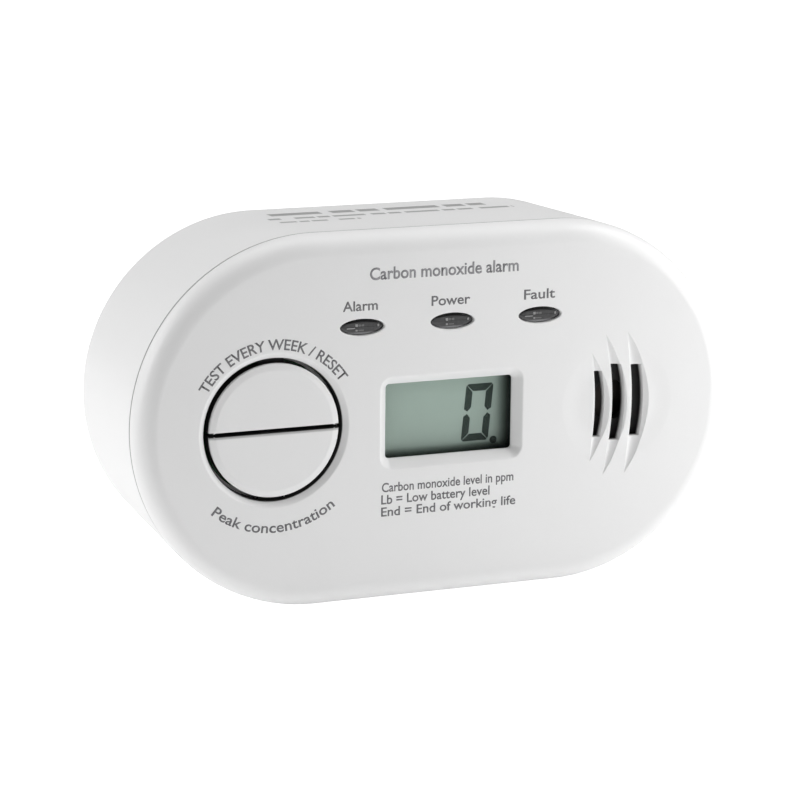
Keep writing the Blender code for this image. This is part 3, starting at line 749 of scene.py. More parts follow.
def sleeve(name, low, high, band_side):
    """Shrink sleeve of a battery cell: dark wrap, a pale band at one end, a wrapped seam."""
    material, tree, shader = new_material(name, Coat_Weight=0.35, Coat_Roughness=0.15)
    where = spot(tree)
    share = remap(axes(where)[0], low, high, 0.0, 1.0, "LINEAR")
    if band_side < 0:
        share = 1.0 - share
    band = either(share > 0.74, (share > 0.70) * (share < 0.725))
    flecks = noise(where, 1800.0, 2.0)
    dark = blend(flecks, rgba((0.018, 0.02, 0.024)), rgba((0.03, 0.032, 0.038)))
    pale = blend(flecks, rgba((0.5, 0.52, 0.54)), rgba((0.62, 0.63, 0.65)))
    feed(shader, Base_Color=blend(band, dark, pale), Roughness=remap(flecks, 0.0, 1.0, 0.25, 0.38, "LINEAR"))
    bumped(shader, noise(where, 220.0, 2.0), 0.1, 0.1)
    return material


def printing_ink(base):
    """Flat pad-printed ink with slightly uneven cover."""
    material, tree, shader = new_material("Printing ink")
    patch = remap(noise(spot(tree), 5200.0, 2.0), 0.3, 0.75)
    feed(shader, Base_Color=blend(patch, rgba(base, 0.9), rgba(base, 1.35)),
         Roughness=remap(patch, 0.0, 1.0, 0.5, 0.6, "LINEAR"))
    return material


def shared(name, maker):
    """Each material is made once."""
    return bpy.data.materials.get(name) or maker()


def case_material():
    look = bpy.context.scene.alarm_finishes
    return shared("White shell plastic", lambda: case_plastic(look.case, look.case_roughness))


def black_material():
    return shared("Black plastic", lambda: moulded("Black plastic", (0.02, 0.02, 0.02), 0.5, 1800.0, 0.3, 0.2))


def steel_material():
    return shared("Sheet steel", lambda: metal("Sheet steel", (0.62, 0.62, 0.61), 0.3, (30, 1, 1)))


# ---------------------------------------------------------------- front cover

SOFT_RIM = [(0.16, 0.02), (0.14, 0.05), (0.12, 0.09)]      # rounded start of a well or window
WINDOW_X, WINDOW_Z, WINDOW_CORNER = 14.75, 9.05, 2.6       # half width, half height and corner of the frame
HOLE_X, HOLE_Z, HOLE_RIM = 4.37, 1.56, 0.28                # half sizes of a lamp hole, and its rounded rim
BOSS, BOSS_HOLE = 3.0, 1.25                                # radii of a screw boss and its hole
LIP = 0.012                             # how far the front stays clear of what is cut into it


def slot(tip, left, right, span, depth, open_left, open_right, open_span):
    """Measures of one groove of the grille and of the opening behind it."""
    return {"left": (tip, left), "right": (tip, right), "span": span, "depth": depth,
            "open_left": open_left, "open_right": open_right, "open_span": open_span}


# x of each side at its tips and in the middle, and the lowest and highest place from mid-height
SLOTS = [slot(30.4, 30.9, 34.5, (-11.7, 9.8), 1.15, (31.2, 31.7), (32.7, 33.6), (-7.0, 6.0)),
         slot(33.2, 34.5, 38.2, (-14.7, 13.3), 1.25, (34.8, 35.5), (36.7, 37.8), (-7.9, 7.1)),
         slot(37.8, 38.6, 43.0, (-14.7, 13.6), 1.25, (39.0, 39.6), (41.1, 41.9), (-7.4, 6.7))]


def bowed_cutter(name, left, right, span, across, along, thick, depth):
    """Cutter between two bowed sides, which starts where depth says for (share across, bow)."""
    low, high = span
    nothing_selected()
    bpy.ops.mesh.primitive_grid_add(x_subdivisions=across, y_subdivisions=along, size=2, location=(0, 0, 0))
    piece = settle(name)
    for vertex in piece.data.vertices:
        share, up = (vertex.co.x + 1) / 2, vertex.co.y
        bow = 1 - up * up
        x_left, x_right = (tip + (middle - tip) * bow for tip, middle in (left, right))
        vertex.co = at(x_left + (x_right - x_left) * share, depth(share, bow), (low + high + up * (high - low)) / 2)
    edit_all(piece)
    extrude(y=thick)
    done()
    return face_outwards(piece)


def groove_cutter(index, one):
    """Boat-shaped groove: steep on the left, gentle on the right, deepest in the middle."""
    def depth(share, bow):
        side = min(share / 0.4, (1 - share) / 0.6)
        down = one["depth"] * sin(side * pi / 2) ** 0.9 * bow ** 0.75 if side > 0 else 0.0
        return FACE - 0.04 + down * 1.02

    return bowed_cutter(f"groove_{index}", one["left"], one["right"], one["span"], 14, 36, -2.2, depth)


def opening_cutter(index, one):
    """Straight opening through the wall along the left side of a groove."""
    return bowed_cutter(f"opening_{index}", one["open_left"], one["open_right"], one["open_span"], 2, 20, 5.0,
                        lambda share, bow: FACE - 0.6)


def dish_cutter(depth):
    """Shallow ring round the grille, deepest two thirds of the way out."""
    outer, inner, count = 12.4, 4.4, 16

    def level(radius):
        share = (outer - radius) / (outer - inner)
        return depth * sin(pi * share) ** 2

    radii = [outer - (outer - inner) * i / count for i in range(count + 1)]
    steps = [(a - b, level(b) - level(a)) for a, b in zip(radii, radii[1:])]
    steps[-1] = (steps[-1][0], steps[-1][1] - 0.06)
    return deepen(disc("dish", outer, GRILLE[0], FACE - 0.5, GRILLE[1], 1, steps=96), 0.5 - LIP, steps)


class ALARM_OT_front_cover(bpy.types.Operator):
    """Makes the front cover with its button well, window, lamp holes and grille"""
    bl_idname = "alarm.front_cover"
    bl_label = "Front Cover"

    def execute(self, context):
        sizes = context.scene.alarm_sizes
        cover = case_oval("cover_shell", 0, SEAM, -1, sizes.steps)
        edit_all(cover)
        extrude(y=FACE - SEAM)
        choose(cover, "FACE", lambda f: len(f.verts) > 8 and abs(f.calc_center_median().y - SEAM * MM) < CLOSE)
        bpy.ops.mesh.delete(type="FACE")
        choose(cover, "EDGE", lambda e: all(abs(v.co.y - FACE * MM) < CLOSE for v in e.verts))
        bevel(sizes.fillet / MM, 14)
        done()
        face_outwards(cover)
        hollow(cover, sizes.wall, SEAM)

        well = sizes.well / MM
        wall_seat = INSIDE - 0.4
        supports = [post("pad", *GRILLE, 14.0, wall_seat, INSIDE + 0.4, 64),
                    post("well_collar", BUTTON_X, BUTTON_Z, well + 1.4, wall_seat, INSIDE + 2.0, 96),
                    cut(post("sounder_ring", *GRILLE, 17.0, wall_seat - 0.03, INSIDE + 2.0, 64),
                        post("sounder_ring_hole", *GRILLE, 15.8, wall_seat - 1, INSIDE + 3.0, 64))]
        supports += [post(f"boss_{i}", x, z, BOSS, wall_seat, -8.4, 28) for i, (x, z) in enumerate(COVER_SCREWS)]
        join(cover, *supports)

        window = panel("window_cutter", WINDOW_X, WINDOW_Z, WINDOW_CORNER, SCREEN_X + 0.2, FACE - 0.5, SCREEN_Z, 1, 8)
        tools = [
            dish_cutter(sizes.dish / MM),
            deepen(disc("well_cutter", well + 1.4, BUTTON_X, FACE - 0.5, BUTTON_Z, 1, steps=144), 0.5 - LIP,
                   SOFT_RIM + [(0.78, 0.62), (0.12, 0.14), (0.08, 0.18), (0.0001, 5.0)]),
            deepen(window, 0.5 - LIP, SOFT_RIM + [(1.38, 1.36), (0.12, 0.26), (0.0001, 3.0)]),
        ]
        for name, x in LIGHTS.items():
            hole = disc(f"{name}_hole", HOLE_X + HOLE_RIM, x, FACE - 0.5, LIGHT_Z, 1, HOLE_Z + HOLE_RIM, 96)
            tools.append(deepen(hole, 0.5 - LIP, [(0.12, 0.03), (0.09, 0.07), (0.07, 0.16), (0.0001, 4.0)]))
        for index, one in enumerate(SLOTS, 1):
            tools += [groove_cutter(index, one), opening_cutter(index, one)]
        tools += [post(f"boss_hole_{i}", x, z, BOSS_HOLE, -16.5, -7.0, 20) for i, (x, z) in enumerate(COVER_SCREWS)]
        cut(cover, *tools)
        notch = block("flexure_notch", (BUTTON_X - 3.1, BUTTON_X + 3.1), (INSIDE + 0.1, INSIDE + 3),
                      (BUTTON_Z - 17.4, BUTTON_Z + 17.4))
        cut(cover, notch)
        smooth(cover, 32)
        finish(cover, case_material(), stands_for=["front_cover"])
        return {"FINISHED"}


# ---------------------------------------------------------------- rear housing

KEYHOLE_X = 44.0


def keyhole_cutter(name, side):
    """Round mouth for a screw head with a narrower slot above it."""
    x, neck, low, high = side * KEYHOLE_X, 2.1, -2, 5
    return [post(f"{name}_mouth", x, low, 4.0, BACK - 3, BACK + 1, 48),
            block(f"{name}_neck", (x - neck, x + neck), (BACK - 3, BACK + 1), (low, high)),
            post(f"{name}_top", x, high, neck, BACK - 3, BACK + 1, 32)]


class ALARM_OT_rear_housing(bpy.types.Operator):
    """Makes the deep tapered shell with its battery bay, keyholes, vents and foot rails"""
    bl_idname = "alarm.rear_housing"
    bl_label = "Rear Housing"

    def execute(self, context):
        sizes = context.scene.alarm_sizes
        rim = SEAM + 0.2
        fillet, draft = sizes.back_fillet / MM, sizes.draft / MM
        shell = case_oval("housing_shell", 0, rim, 1, sizes.steps)
        arc = [(fillet * (1 - cos(a)), fillet * sin(a)) for a in (pi / 2 * i / 8 for i in range(9))]
        rounding = [(b[0] - a[0], b[1] - a[1]) for a, b in zip(arc, arc[1:])]
        edit_all(shell)
        inset_steps([(draft, BACK - fillet - rim)] + rounding)
        done()
        face_outwards(shell)
        hollow(shell, sizes.wall, rim)

        bay_low = node_box("battery_cell_3")[0].z - MID_Z - 0.2
        bay_high = node_box("battery_cell_1")[1].z - MID_Z + 0.2
        half_x, floor = 29.4, node_box("battery_cell_1")[0].y - 0.15
        door_x, root, outer = 31.0, BACK - 1.6, BACK + 1
        parts = [block("bay_walls", (-half_x - 1.6, half_x + 1.6), (floor - 1.6, root),
                       (bay_low - 1.5, bay_high + 1.5)),
                 block("door_frame", (-door_x - 2.5, door_x + 2.5), (BACK - 5, root + 0.1),
                       (DOOR_LOW - 2.1, DOOR_HIGH + 2))]
        parts += [post(f"tunnel_{i}", x, z, 4.6, -7.9, root + 0.05, 40) for i, (x, z) in enumerate(COVER_SCREWS)]
        for side in (-1, 1):
            rail = block(f"rail_{side}", (side * 18 - 4, side * 18 + 4), (SEAM + 2, BACK - 4),
                         (-MID_Z, 2.2 - MID_Z))
            parts.append(round_edges(rail, 0.5, 30, 3))
        join(shell, *parts)

        tools = [block("bay", (-half_x, half_x), (floor, outer), (bay_low, bay_high)),
                 block("recess", (-door_x - 0.3, door_x + 0.3), (BACK - 2.5, outer + 1),
                       (DOOR_LOW - 0.3, DOOR_HIGH + 0.3)),
                 post("scoop", 0, DOOR_HIGH, 8.6, outer, BACK - 0.3, 64, [(0.9, 0.5), (0.5, 0.35), (0.6, 0.15)]),
                 rod("pin_bore", 0.85, (-door_x - 1.8, door_x + 1.8), BACK - 1.1, DOOR_LOW + 1.1, 24)]
        for index, (x, z) in enumerate(COVER_SCREWS):
            tools.append(post(f"tunnel_bore_{index}", x, z, 3.9, outer, BACK - 0.5, 40,
                              [(0.5, 0.5), (0.0001, 24.9)]))
            tools.append(post(f"screw_hole_{index}", x, z, 1.6, -9, -5, 20))
        for side in (-1, 1):
            tools += keyhole_cutter(f"keyhole_{side}", side)
            for row in range(3):
                z = -10.5 - 2.6 * (row - 1)
                vent = panel(f"vent_{side}_{row}", 6.0, 0.7, 0.68, side * KEYHOLE_X, BACK - 3, z, 1, 5)
                tools.append(deepen(vent, 4.0))
        cut(shell, *tools)
        smooth(shell, 32)
        finish(shell, case_material(), stands_for=["rear_housing"])
        return {"FINISHED"}


# ---------------------------------------------------------------- buttons

def half_post(name, radius, near, far, side, split, taper=()):
    """One half of a round post in the button well, on its own side of the slit."""
    piece = post(name, BUTTON_X, BUTTON_Z, radius, near, far, 160, taper)
    edit_all(piece)
    bpy.ops.mesh.bisect(plane_co=at(0, 0, BUTTON_Z + side * split), plane_no=(0, 0, side), clear_inner=True,
                        use_fill=True)
    done()
    return face_outwards(piece)


def half_button(name, side, radius):
    """Half-round button: raised lip, gentle slope and flat top, hollow behind, with its post and flexure."""
    split, rise = 0.33, [(0.08, 0.10), (0.12, 0.06), (0.16, 0.01), (0.2, 0.05), (0.28, 0.08), (0.24, 0.06),
                         (0.16, 0.03), (0.12, 0.01)]
    piece = half_post(name, radius, BUTTON_BACK, FACE + 0.4, side, split, rise)
    line = (BUTTON_Z + MID_Z + side * split) * MM
    edit(piece)
    choose(piece, "EDGE", lambda e: all(
        abs(v.co.z - line) < CLOSE and v.co.y < (FACE + 0.44) * MM for v in e.verts))
    bevel(0.32, 4)
    done()
    cut(piece, half_post(f"{name}_hollow", radius - 1.6, BUTTON_BACK + 1, FACE + 1.7, side, split + 1.6))
    z = BUTTON_Z + side * 7.0
    reach = sorted((BUTTON_Z + side * (radius - 1), BUTTON_Z + side * 14.8))
    join(piece, block(f"{name}_flexure", (BUTTON_X - 2.5, BUTTON_X + 2.5),
                      (INSIDE + 0.35, BUTTON_BACK - 0.05), reach),
         post(f"{name}_post", BUTTON_X, z, 1.4, FACE + 1.5, -15.7, 24))
    return smooth(piece, 30)


class ALARM_OT_buttons(bpy.types.Operator):
    """Makes the test and peak buttons and gives their carrier and switches a finish"""
    bl_idname = "alarm.buttons"
    bl_label = "Buttons"

    def execute(self, context):
        look = context.scene.alarm_finishes
        radius = context.scene.alarm_sizes.button / MM
        white = shared("Button plastic", lambda: button_plastic(look.button, 0.38))
        for name, side in (("test", 1), ("peak", -1)):
            piece = half_button(f"{name}_button_shell", side, radius)
            finish(piece, white, f"{name}_button", [f"{name}_button"])
        coat(moulded("Carrier plastic", (0.7, 0.7, 0.69), 0.45), "button_frame")
        coat(black_material(), "test_switch", "peak_switch", "test_plunger", "peak_plunger")
        return {"FINISHED"}


# ---------------------------------------------------------------- display

DIGIT_X, DIGIT_Z, LEAN = 8.85, -1.2, 0.094
POINT_X, POINT_Z = 12.25, -6.85
SEGMENT_THICK = 0.012


def segment(name, points):
    """One flat segment of the display, its corners leaned over and given a little thickness."""
    nothing_selected()
    bpy.ops.mesh.primitive_circle_add(vertices=len(points), radius=MM, fill_type="NGON", location=(0, 0, 0))
    piece = settle(name)
    for vertex, (u, v) in zip(piece.data.vertices, points):
        vertex.co = at(DIGIT_X + u + LEAN * v, SEGMENT_FACE, DIGIT_Z + v)
    return deepen(piece, -SEGMENT_THICK)


def display_digit():
    """A slanted seven-segment zero with mitred gaps."""
    w, half, t, gap, corner = 2.8, 5.55, 1.42, 0.1, 0.55
    pieces = []
    for side, end in ((1, "top"), (-1, "bottom")):
        bar = [(-w + gap + corner * 0.6, side * half), (w - gap - corner * 0.6, side * half),
               (w - gap - corner * 0.25, side * (half - 0.25)), (w - t - gap, side * (half - t)),
               (-w + t + gap, side * (half - t)), (-w + gap + corner * 0.25, side * (half - 0.25))]
        pieces.append(segment(f"segment_across_{end}", bar))
        for hand, place in ((-1, "left"), (1, "right")):
            upright = [(hand * w, side * (half - corner)), (hand * (w - corner * 0.3), side * (half - gap * 2.4)),
                       (hand * (w - t), side * (half - t - gap * 1.6)), (hand * (w - t), side * (0.95 + gap)),
                       (hand * (w - t / 2), side * (gap + 0.12)), (hand * w, side * (0.62 + gap))]
            pieces.append(segment(f"segment_upright_{place}_{end}", upright))
    return pieces


class ALARM_OT_display(bpy.types.Operator):
    """Makes the display's segments and gives its glass, window and holder a finish"""
    bl_idname = "alarm.display"
    bl_label = "Display"

    def execute(self, context):
        look = context.scene.alarm_finishes
        coat(liquid_crystal(look.screen), "lcd_glass")
        coat(clear_window(), "display_lens")
        coat(black_material(), "lcd_holder")
        coat(moulded("Connector rubber", (0.05, 0.05, 0.05), 0.7, 900.0, 0.4, 0.3), "lcd_connector")
        ink = moulded("Segment tint", look.segment, 0.6, 3000.0, 0.05, 0.1, Specular_IOR_Level=0.1)
        pieces = display_digit()
        pieces.append(deepen(disc("segment_point", 0.74, POINT_X, SEGMENT_FACE, POINT_Z, steps=32), -SEGMENT_THICK))
        for piece in pieces:
            finish(piece, ink)
        return {"FINISHED"}


# ---------------------------------------------------------------- status lights

class ALARM_OT_status_lights(bpy.types.Operator):
    """Makes the smoked windows and gives the lamps behind them a finish"""
    bl_idname = "alarm.status_lights"
    bl_label = "Status Lights"

    def execute(self, context):
        look = context.scene.alarm_finishes
        smoked = smoked_window(look.smoked)
        pale = moulded("Window marks", (0.3, 0.3, 0.3), 0.3, 4000.0, 0.1, 0.1)
        faint = moulded("Faint window marks", (0.13, 0.13, 0.13), 0.3, 4000.0, 0.1, 0.1)
        lamps = {"alarm": (0.5, 0.03, 0.02), "power": (0.05, 0.4, 0.08), "fault": (0.6, 0.3, 0.03)}
        start = LIGHTS["alarm"]
        first = deepen(disc("alarm_window", 5.5, start, INSIDE + 1.1, LIGHT_Z, -1, 2.7, 96), -0.8)
        join(first, deepen(disc("window_body", 4.25, start, INSIDE + 0.6, LIGHT_Z, -1, 1.45, 96), FACE - INSIDE,
                           [(0.1, 0.06), (0.18, 0.07), (0.3, 0.06)]))
        # where each mark is from the window's middle, its half width and half height, and its finish
        # the last mark, at the window's right end, is a painted glint: a pale patch for a reflection on the window
        marks = [(-1.0, 0.3, 0.24, 0.24, pale), (-0.4, 0.3, 0.24, 0.2, faint), (0.2, 0.3, 0.26, 0.2, faint),
                 (-1.0, -0.62, 0.2, 0.15, pale), (-0.1, -0.62, 0.55, 0.12, faint), (3.3, 0.15, 0.16, 0.22, pale)]
        line = (-2.15, -0.2, 0.8, 0.09, pale)
        for name, x in LIGHTS.items():
            window = first if name == "alarm" else copy_to(first, f"{name}_window", x - start, 0, 0)
            smooth(window, 35)
            finish(window, smoked, stands_for=[f"{name}_lens"])
            coat(lamp(f"{name.title()} lamp", lamps[name]), f"{name}_led")
            drawn = marks if name == "power" else marks + [line]
            for index, (dx, dz, half_x, half_z, material) in enumerate(drawn):
                bar = panel(f"{name}_mark_{index}", half_x, half_z, 0.05, x + dx, FACE + 0.4, LIGHT_Z + dz)
                finish(deepen(bar, -0.02), material)
        return {"FINISHED"}


# ---------------------------------------------------------------- printing

INK_THICK = 0.012


def lettering(name, words, weight):
    """Straight lettering as a mesh in the XY plane, its baseline on Y = 0 and its middle at X = 0."""
    nothing_selected()
    bpy.ops.object.text_add(location=(0, 0, 0))
    piece = bpy.context.object
    piece.name = name
    piece.data.body, piece.data.size, piece.data.offset = words, 1.0, weight
    piece.data.align_x, piece.data.resolution_u = "CENTER", 4
    bpy.ops.object.convert(target="MESH")
    return settle(name)


def print_on(piece, width, cap, place):
    """Fit lettering to a width and capital height, put each point on the case, and give the ink its thickness."""
    low = min(v.co.x for v in piece.data.vertices)
    high = max(v.co.x for v in piece.data.vertices)
    tall = max(v.co.y for v in piece.data.vertices)
    for vertex in piece.data.vertices:
        u = (vertex.co.x - (low + high) / 2) * (width / (high - low) if width else cap / tall)
        vertex.co = place(u, vertex.co.y * cap / tall)
    edit_all(piece)
    bpy.ops.mesh.remove_doubles(threshold=0.002 * MM)
    extrude(y=-INK_THICK)
    done()
    return face_outwards(piece)


class ALARM_OT_printing(bpy.types.Operator):
    """Prints plain function words on the front; the blank bars on the top come from the case material"""
    bl_idname = "alarm.printing"
    bl_label = "Printing"

    def execute(self, context):
        look = context.scene.alarm_finishes
        ink = printing_ink(look.ink)
        pale = moulded("Pale ink", [min(1.0, v * 1.9) for v in look.ink], 0.55, 5000.0, 0.05, 0.1)
        level = FACE - 0.004
        lines = [("title", "Carbon monoxide alarm", -15.1, 14.8, 26.6, 2.3, 0.02, pale),
                 ("alarm_word", "Alarm", -20.4, -13.5, 21.0, 1.85, 0.014, ink),
                 ("power_word", "Power", -2.8, 5.0, 21.0, 1.85, 0.014, ink),
                 ("fault_word", "Fault", 16.0, 22.4, 21.0, 1.85, 0.014, ink),
                 ("line_1", "Carbon monoxide level in ppm", -12.4, 14.5, -13.9, 1.75, 0.014, ink),
                 ("line_2", "Lb = Low battery level", -12.5, 9.6, -16.25, 1.75, 0.014, ink),
                 ("line_3", "End = End of working life", -12.5, 15.0, -18.6, 1.75, 0.014, ink)]
        for name, words, left, right, base, cap, weight, material in lines:
            middle = (left + right) / 2
            piece = print_on(lettering(f"print_{name}", words, weight), right - left, cap,
                             lambda u, v: at(middle + u, level, base + v))
            finish(piece, material)
        arcs = [("arc_top", "TEST EVERY WEEK / RESET", 15.2, 33.0, 149.0, 2.0, 1),
                ("arc_bottom", "Peak concentration", 19.3, 230.0, 308.0, 1.95, -1)]
        for name, words, radius, start, end, cap, side in arcs:
            middle, span = radians((start + end) / 2), radians(end - start) * (radius + side * cap / 2)

            def bend(u, v):
                reach = radius + side * v
                angle = middle - side * u / (radius + side * cap / 2)
                return at(BUTTON_X + reach * cos(angle), level, BUTTON_Z + reach * sin(angle))

            finish(print_on(lettering(f"print_{name}", words, 0.014), span, cap, bend), ink)
        return {"FINISHED"}


# ---------------------------------------------------------------- battery door, cells and screws

class ALARM_OT_battery_door(bpy.types.Operator):
    """Makes the battery door with its round hinge edge, grip lines and label place"""
    bl_idname = "alarm.battery_door"
    bl_label = "Battery Door"

    def execute(self, context):
        low, high, thick = DOOR_LOW, DOOR_HIGH, 2.2
        door = panel("door_panel", 31.0, (high - low) / 2, 0.0, 0, BACK - thick, (low + high) / 2, 1)
        deepen(door, thick)
        edit(door)
        choose(door, "EDGE", lambda e: all(v.co.z < (MID_Z + low) * MM + CLOSE for v in e.verts)
               and abs(e.verts[0].co.y - e.verts[1].co.y) < 1e-7)
        bevel(thick / 2 - 0.001, 8)
        done()
        join(door, rod("door_pins", 0.55, (-32.4, 32.4), BACK - thick / 2, low + thick / 2, 32))
        label_low, label_high = (corner.z - MID_Z for corner in node_box("rating_label"))
        tools = [deepen(panel("label_place", 24.0, (label_high - label_low) / 2 + 0.3, 1.2, 0, BACK - 0.6,
                              (label_low + label_high) / 2, 1), 2.0)]
        for row in range(3):
            grip = panel(f"grip_{row}", 7.0, 0.4, 0.38, 0, BACK - 0.6, high - 3.0 - 2 * row, 1, 4)
            tools.append(deepen(grip, 2.0))
        cut(door, *tools)
        round_edges(door, 0.18, 40, 2)
        smooth(door, 32)
        finish(door, case_material(), "battery_door", ["battery_door"])
        coat(label_paper(), "rating_label")
        return {"FINISHED"}


def cell_shape(name, low, high, tip_side, z):
    """Cylindrical cell along X: sleeve folded over both ends, a steel base and a raised cap."""
    radius, shoulder = 7.25, 1.0
    body = (low, high - shoulder) if tip_side > 0 else (low + shoulder, high)
    piece = rod(name, radius, body, node_box("battery_cell_1")[0].y + radius, z, 64)
    edit(piece)
    for end in (-1, 1):
        choose(piece, "FACE", lambda f: f.normal.x * end > 0.9)
        if end == tip_side:
            inset_steps([(0.5, 0.0), (0.35, -0.2), (3.4, 0.05), (0.25, 0.25), (0.1, 0.75), (0.25, 0.13)])
        else:
            inset_steps([(0.5, 0.0), (0.35, -0.2), (0.9, 0.0), (0.4, 0.15)])
    done()
    round_edges(piece, 0.25, 60, 3)
    return smooth(piece, 35)


def coil(name, start, end, y, z, wire_radius=0.38, wide=4.6, narrow=3.2, turns=5, steps=28, sides=10):
    """Conical coil spring along X with closed ends."""
    mesh = bmesh.new()
    rings, count = [], turns * steps
    hand = 1 if end > start else -1
    start, end = start + hand * wire_radius, end - hand * wire_radius
    for i in range(count + 1):
        share = i / count
        angle = 2 * pi * turns * share
        eased = min(1.0, max(0.0, (share - 0.12) / 0.76))
        reach = wide + (narrow - wide) * share
        outward = Vector((0, cos(angle), sin(angle)))
        centre = Vector((start + (end - start) * eased, y, z + MID_Z)) + outward * reach
        rings.append([mesh.verts.new((centre + wire_radius * (cos(a) * outward + Vector((sin(a), 0, 0)))) * MM)
                      for a in (2 * pi * k / sides for k in range(sides))])
    for here, there in zip(rings, rings[1:]):
        for k in range(sides):
            mesh.faces.new((here[k - 1], here[k], there[k], there[k - 1]))
    mesh.faces.new(rings[0])
    mesh.faces.new(rings[-1])
    bmesh.ops.recalc_face_normals(mesh, faces=mesh.faces)
    data = bpy.data.meshes.new(name)
    mesh.to_mesh(data)
    piece = bpy.data.objects.new(name, data)
    bpy.context.collection.objects.link(piece)
    return smooth(piece, 40)


class ALARM_OT_batteries(bpy.types.Operator):
    """Makes the three cells and their springs, and gives the contacts a finish"""
    bl_idname = "alarm.batteries"
    bl_label = "Batteries"

    def execute(self, context):
        steel = steel_material()
        for i, tip_side in ((1, 1), (2, -1), (3, 1)):
            low, high = node_box(f"battery_cell_{i}")
            z = (low.z + high.z) / 2 - MID_Z
            wrap = sleeve(f"Cell sleeve {i}", low.x, high.x, tip_side)
            piece = cell_shape(f"cell_{i}", low.x, high.x, tip_side, z)
            finish(piece, wrap, stands_for=[f"battery_cell_{i}"])
            piece.data.materials.append(steel)
            for face in piece.data.polygons:
                middle = face.center
                away = hypot(middle.y / MM - (low.y + high.y) / 2, middle.z / MM - MID_Z - z)
                face.material_index = 1 if away < 6.55 and abs(face.normal.x) > 0.1 or away < 5.5 else 0
            spring_low, spring_high = node_box(f"battery_spring_{i}")
            start, end = (spring_low.x, spring_high.x) if tip_side > 0 else (spring_high.x, spring_low.x)
            spring = coil(f"spring_{i}", start, end, (low.y + high.y) / 2, z)
            finish(spring, steel, stands_for=[f"battery_spring_{i}"])
        plate = metal("Contact plate", (0.66, 0.64, 0.58), 0.28, (1, 1, 20))
        coat(plate, *[f"battery_contact_{i}" for i in (1, 2, 3, 4)])
        return {"FINISHED"}


class ALARM_OT_screws(bpy.types.Operator):
    """Makes the pan-head screws that hold the case together"""
    bl_idname = "alarm.screws"
    bl_label = "Screws"

    def execute(self, context):
        zinc = metal("Zinc-plated steel", (0.58, 0.58, 0.6), 0.32, (1, 1, 1))
        x, z = COVER_SCREWS[0]
        low, high = node_box("cover_screw_1")
        seat = high.y - 1.8
        first = post("pan_head_screw_1", x, z, 2.8, seat, seat + 0.9, 48,
                     [(0.25, 0.35), (0.4, 0.3), (0.5, 0.15), (0.5, 0.08)])
        join(first, post("shank", x, z, 1.2, seat + 0.3, low.y + 1.2, 24, [(0.6, 1.1)]))
        cross = join(block("cross_x", (x - 1.6, x + 1.6), (seat + 0.8, seat + 3), (z - 0.35, z + 0.35)),
                     block("cross_z", (x - 0.35, x + 0.35), (seat + 0.82, seat + 3.02), (z - 1.6, z + 1.6)))
        round_edges(cut(first, cross), 0.06, 45, 2)
        for i, (other_x, other_z) in enumerate(COVER_SCREWS, 1):
            screw = first if i == 1 else copy_to(first, f"pan_head_screw_{i}", other_x - x, 0, other_z - z)
            smooth(screw, 35)
            finish(screw, zinc, stands_for=[f"cover_screw_{i}"])
        coat(zinc, "board_screw_1", "board_screw_2", "board_screw_3")
        return {"FINISHED"}


class ALARM_OT_electronics(bpy.types.Operator):
    """Gives the board, the sounder and the sensor their finishes"""
    bl_idname = "alarm.electronics"
    bl_label = "Electronics"

    def execute(self, context):
        look = context.scene.alarm_finishes
        coat(laminate(look.laminate), "circuit_board")
        coat(black_material(), "sounder_case", "sounder_plate", "sensor_cap", "microcontroller")
        # painted shade: the brass piezo disc is coloured near black so that it reads as shade behind the grille
        # openings
        coat(metal("Brass darkened as painted shade", (0.05, 0.045, 0.04), 0.45, (20, 1, 1), 0.35), "piezo_disc")
        coat(steel_material(), "sensor_can")
        coat(sleeve("Capacitor sleeve", 40.0, 48.0, 1), "capacitor")
        coat(metal("Enamelled copper", (0.7, 0.32, 0.16), 0.35, (1, 60, 1), 0.2), "sounder_coil")
        return {"FINISHED"}


# ---------------------------------------------------------------- stage

def area_light(name, place, aim, size, power):
    """Soft rectangular studio light that faces a point on the case."""
    nothing_selected()
    bpy.ops.object.light_add(type="AREA", location=place)
    light = bpy.context.object
    light.name = name
    light.data.shape, light.data.energy = "RECTANGLE", power
    light.data.size, light.data.size_y = size
    light.rotation_euler = (Vector(aim) - Vector(place)).to_track_quat("-Z", "Y").to_euler()


LAMPS = {                               # place and size in metres, power in watts
    "top": ((0.0, 0.05, 0.95), (0.7, 0.7), 4.0),
    "top_right": ((0.45, -0.1, 0.5), (0.3, 0.3), 1.85),
    "right": ((0.17, -0.12, 0.08), (0.08, 0.15), 0.14),
    "left": ((-0.6, 0.06, 0.22), (0.14, 0.4), 1.25),
    "left_back": ((-0.75, 0.6, 0.5), (0.6, 0.6), 2.2),
}
AMBIENT = 0.13
CAMERA_ACROSS, CAMERA_UP = -6.53, 1.81  # how far the camera stands beside and above the line to the seam's middle
CAMERA_LENS = 133.96
FLOOR_GLOW, FLOOR_LIFT = 0.34, 0.65     # what the floor gives off, and how much more of it the camera sees


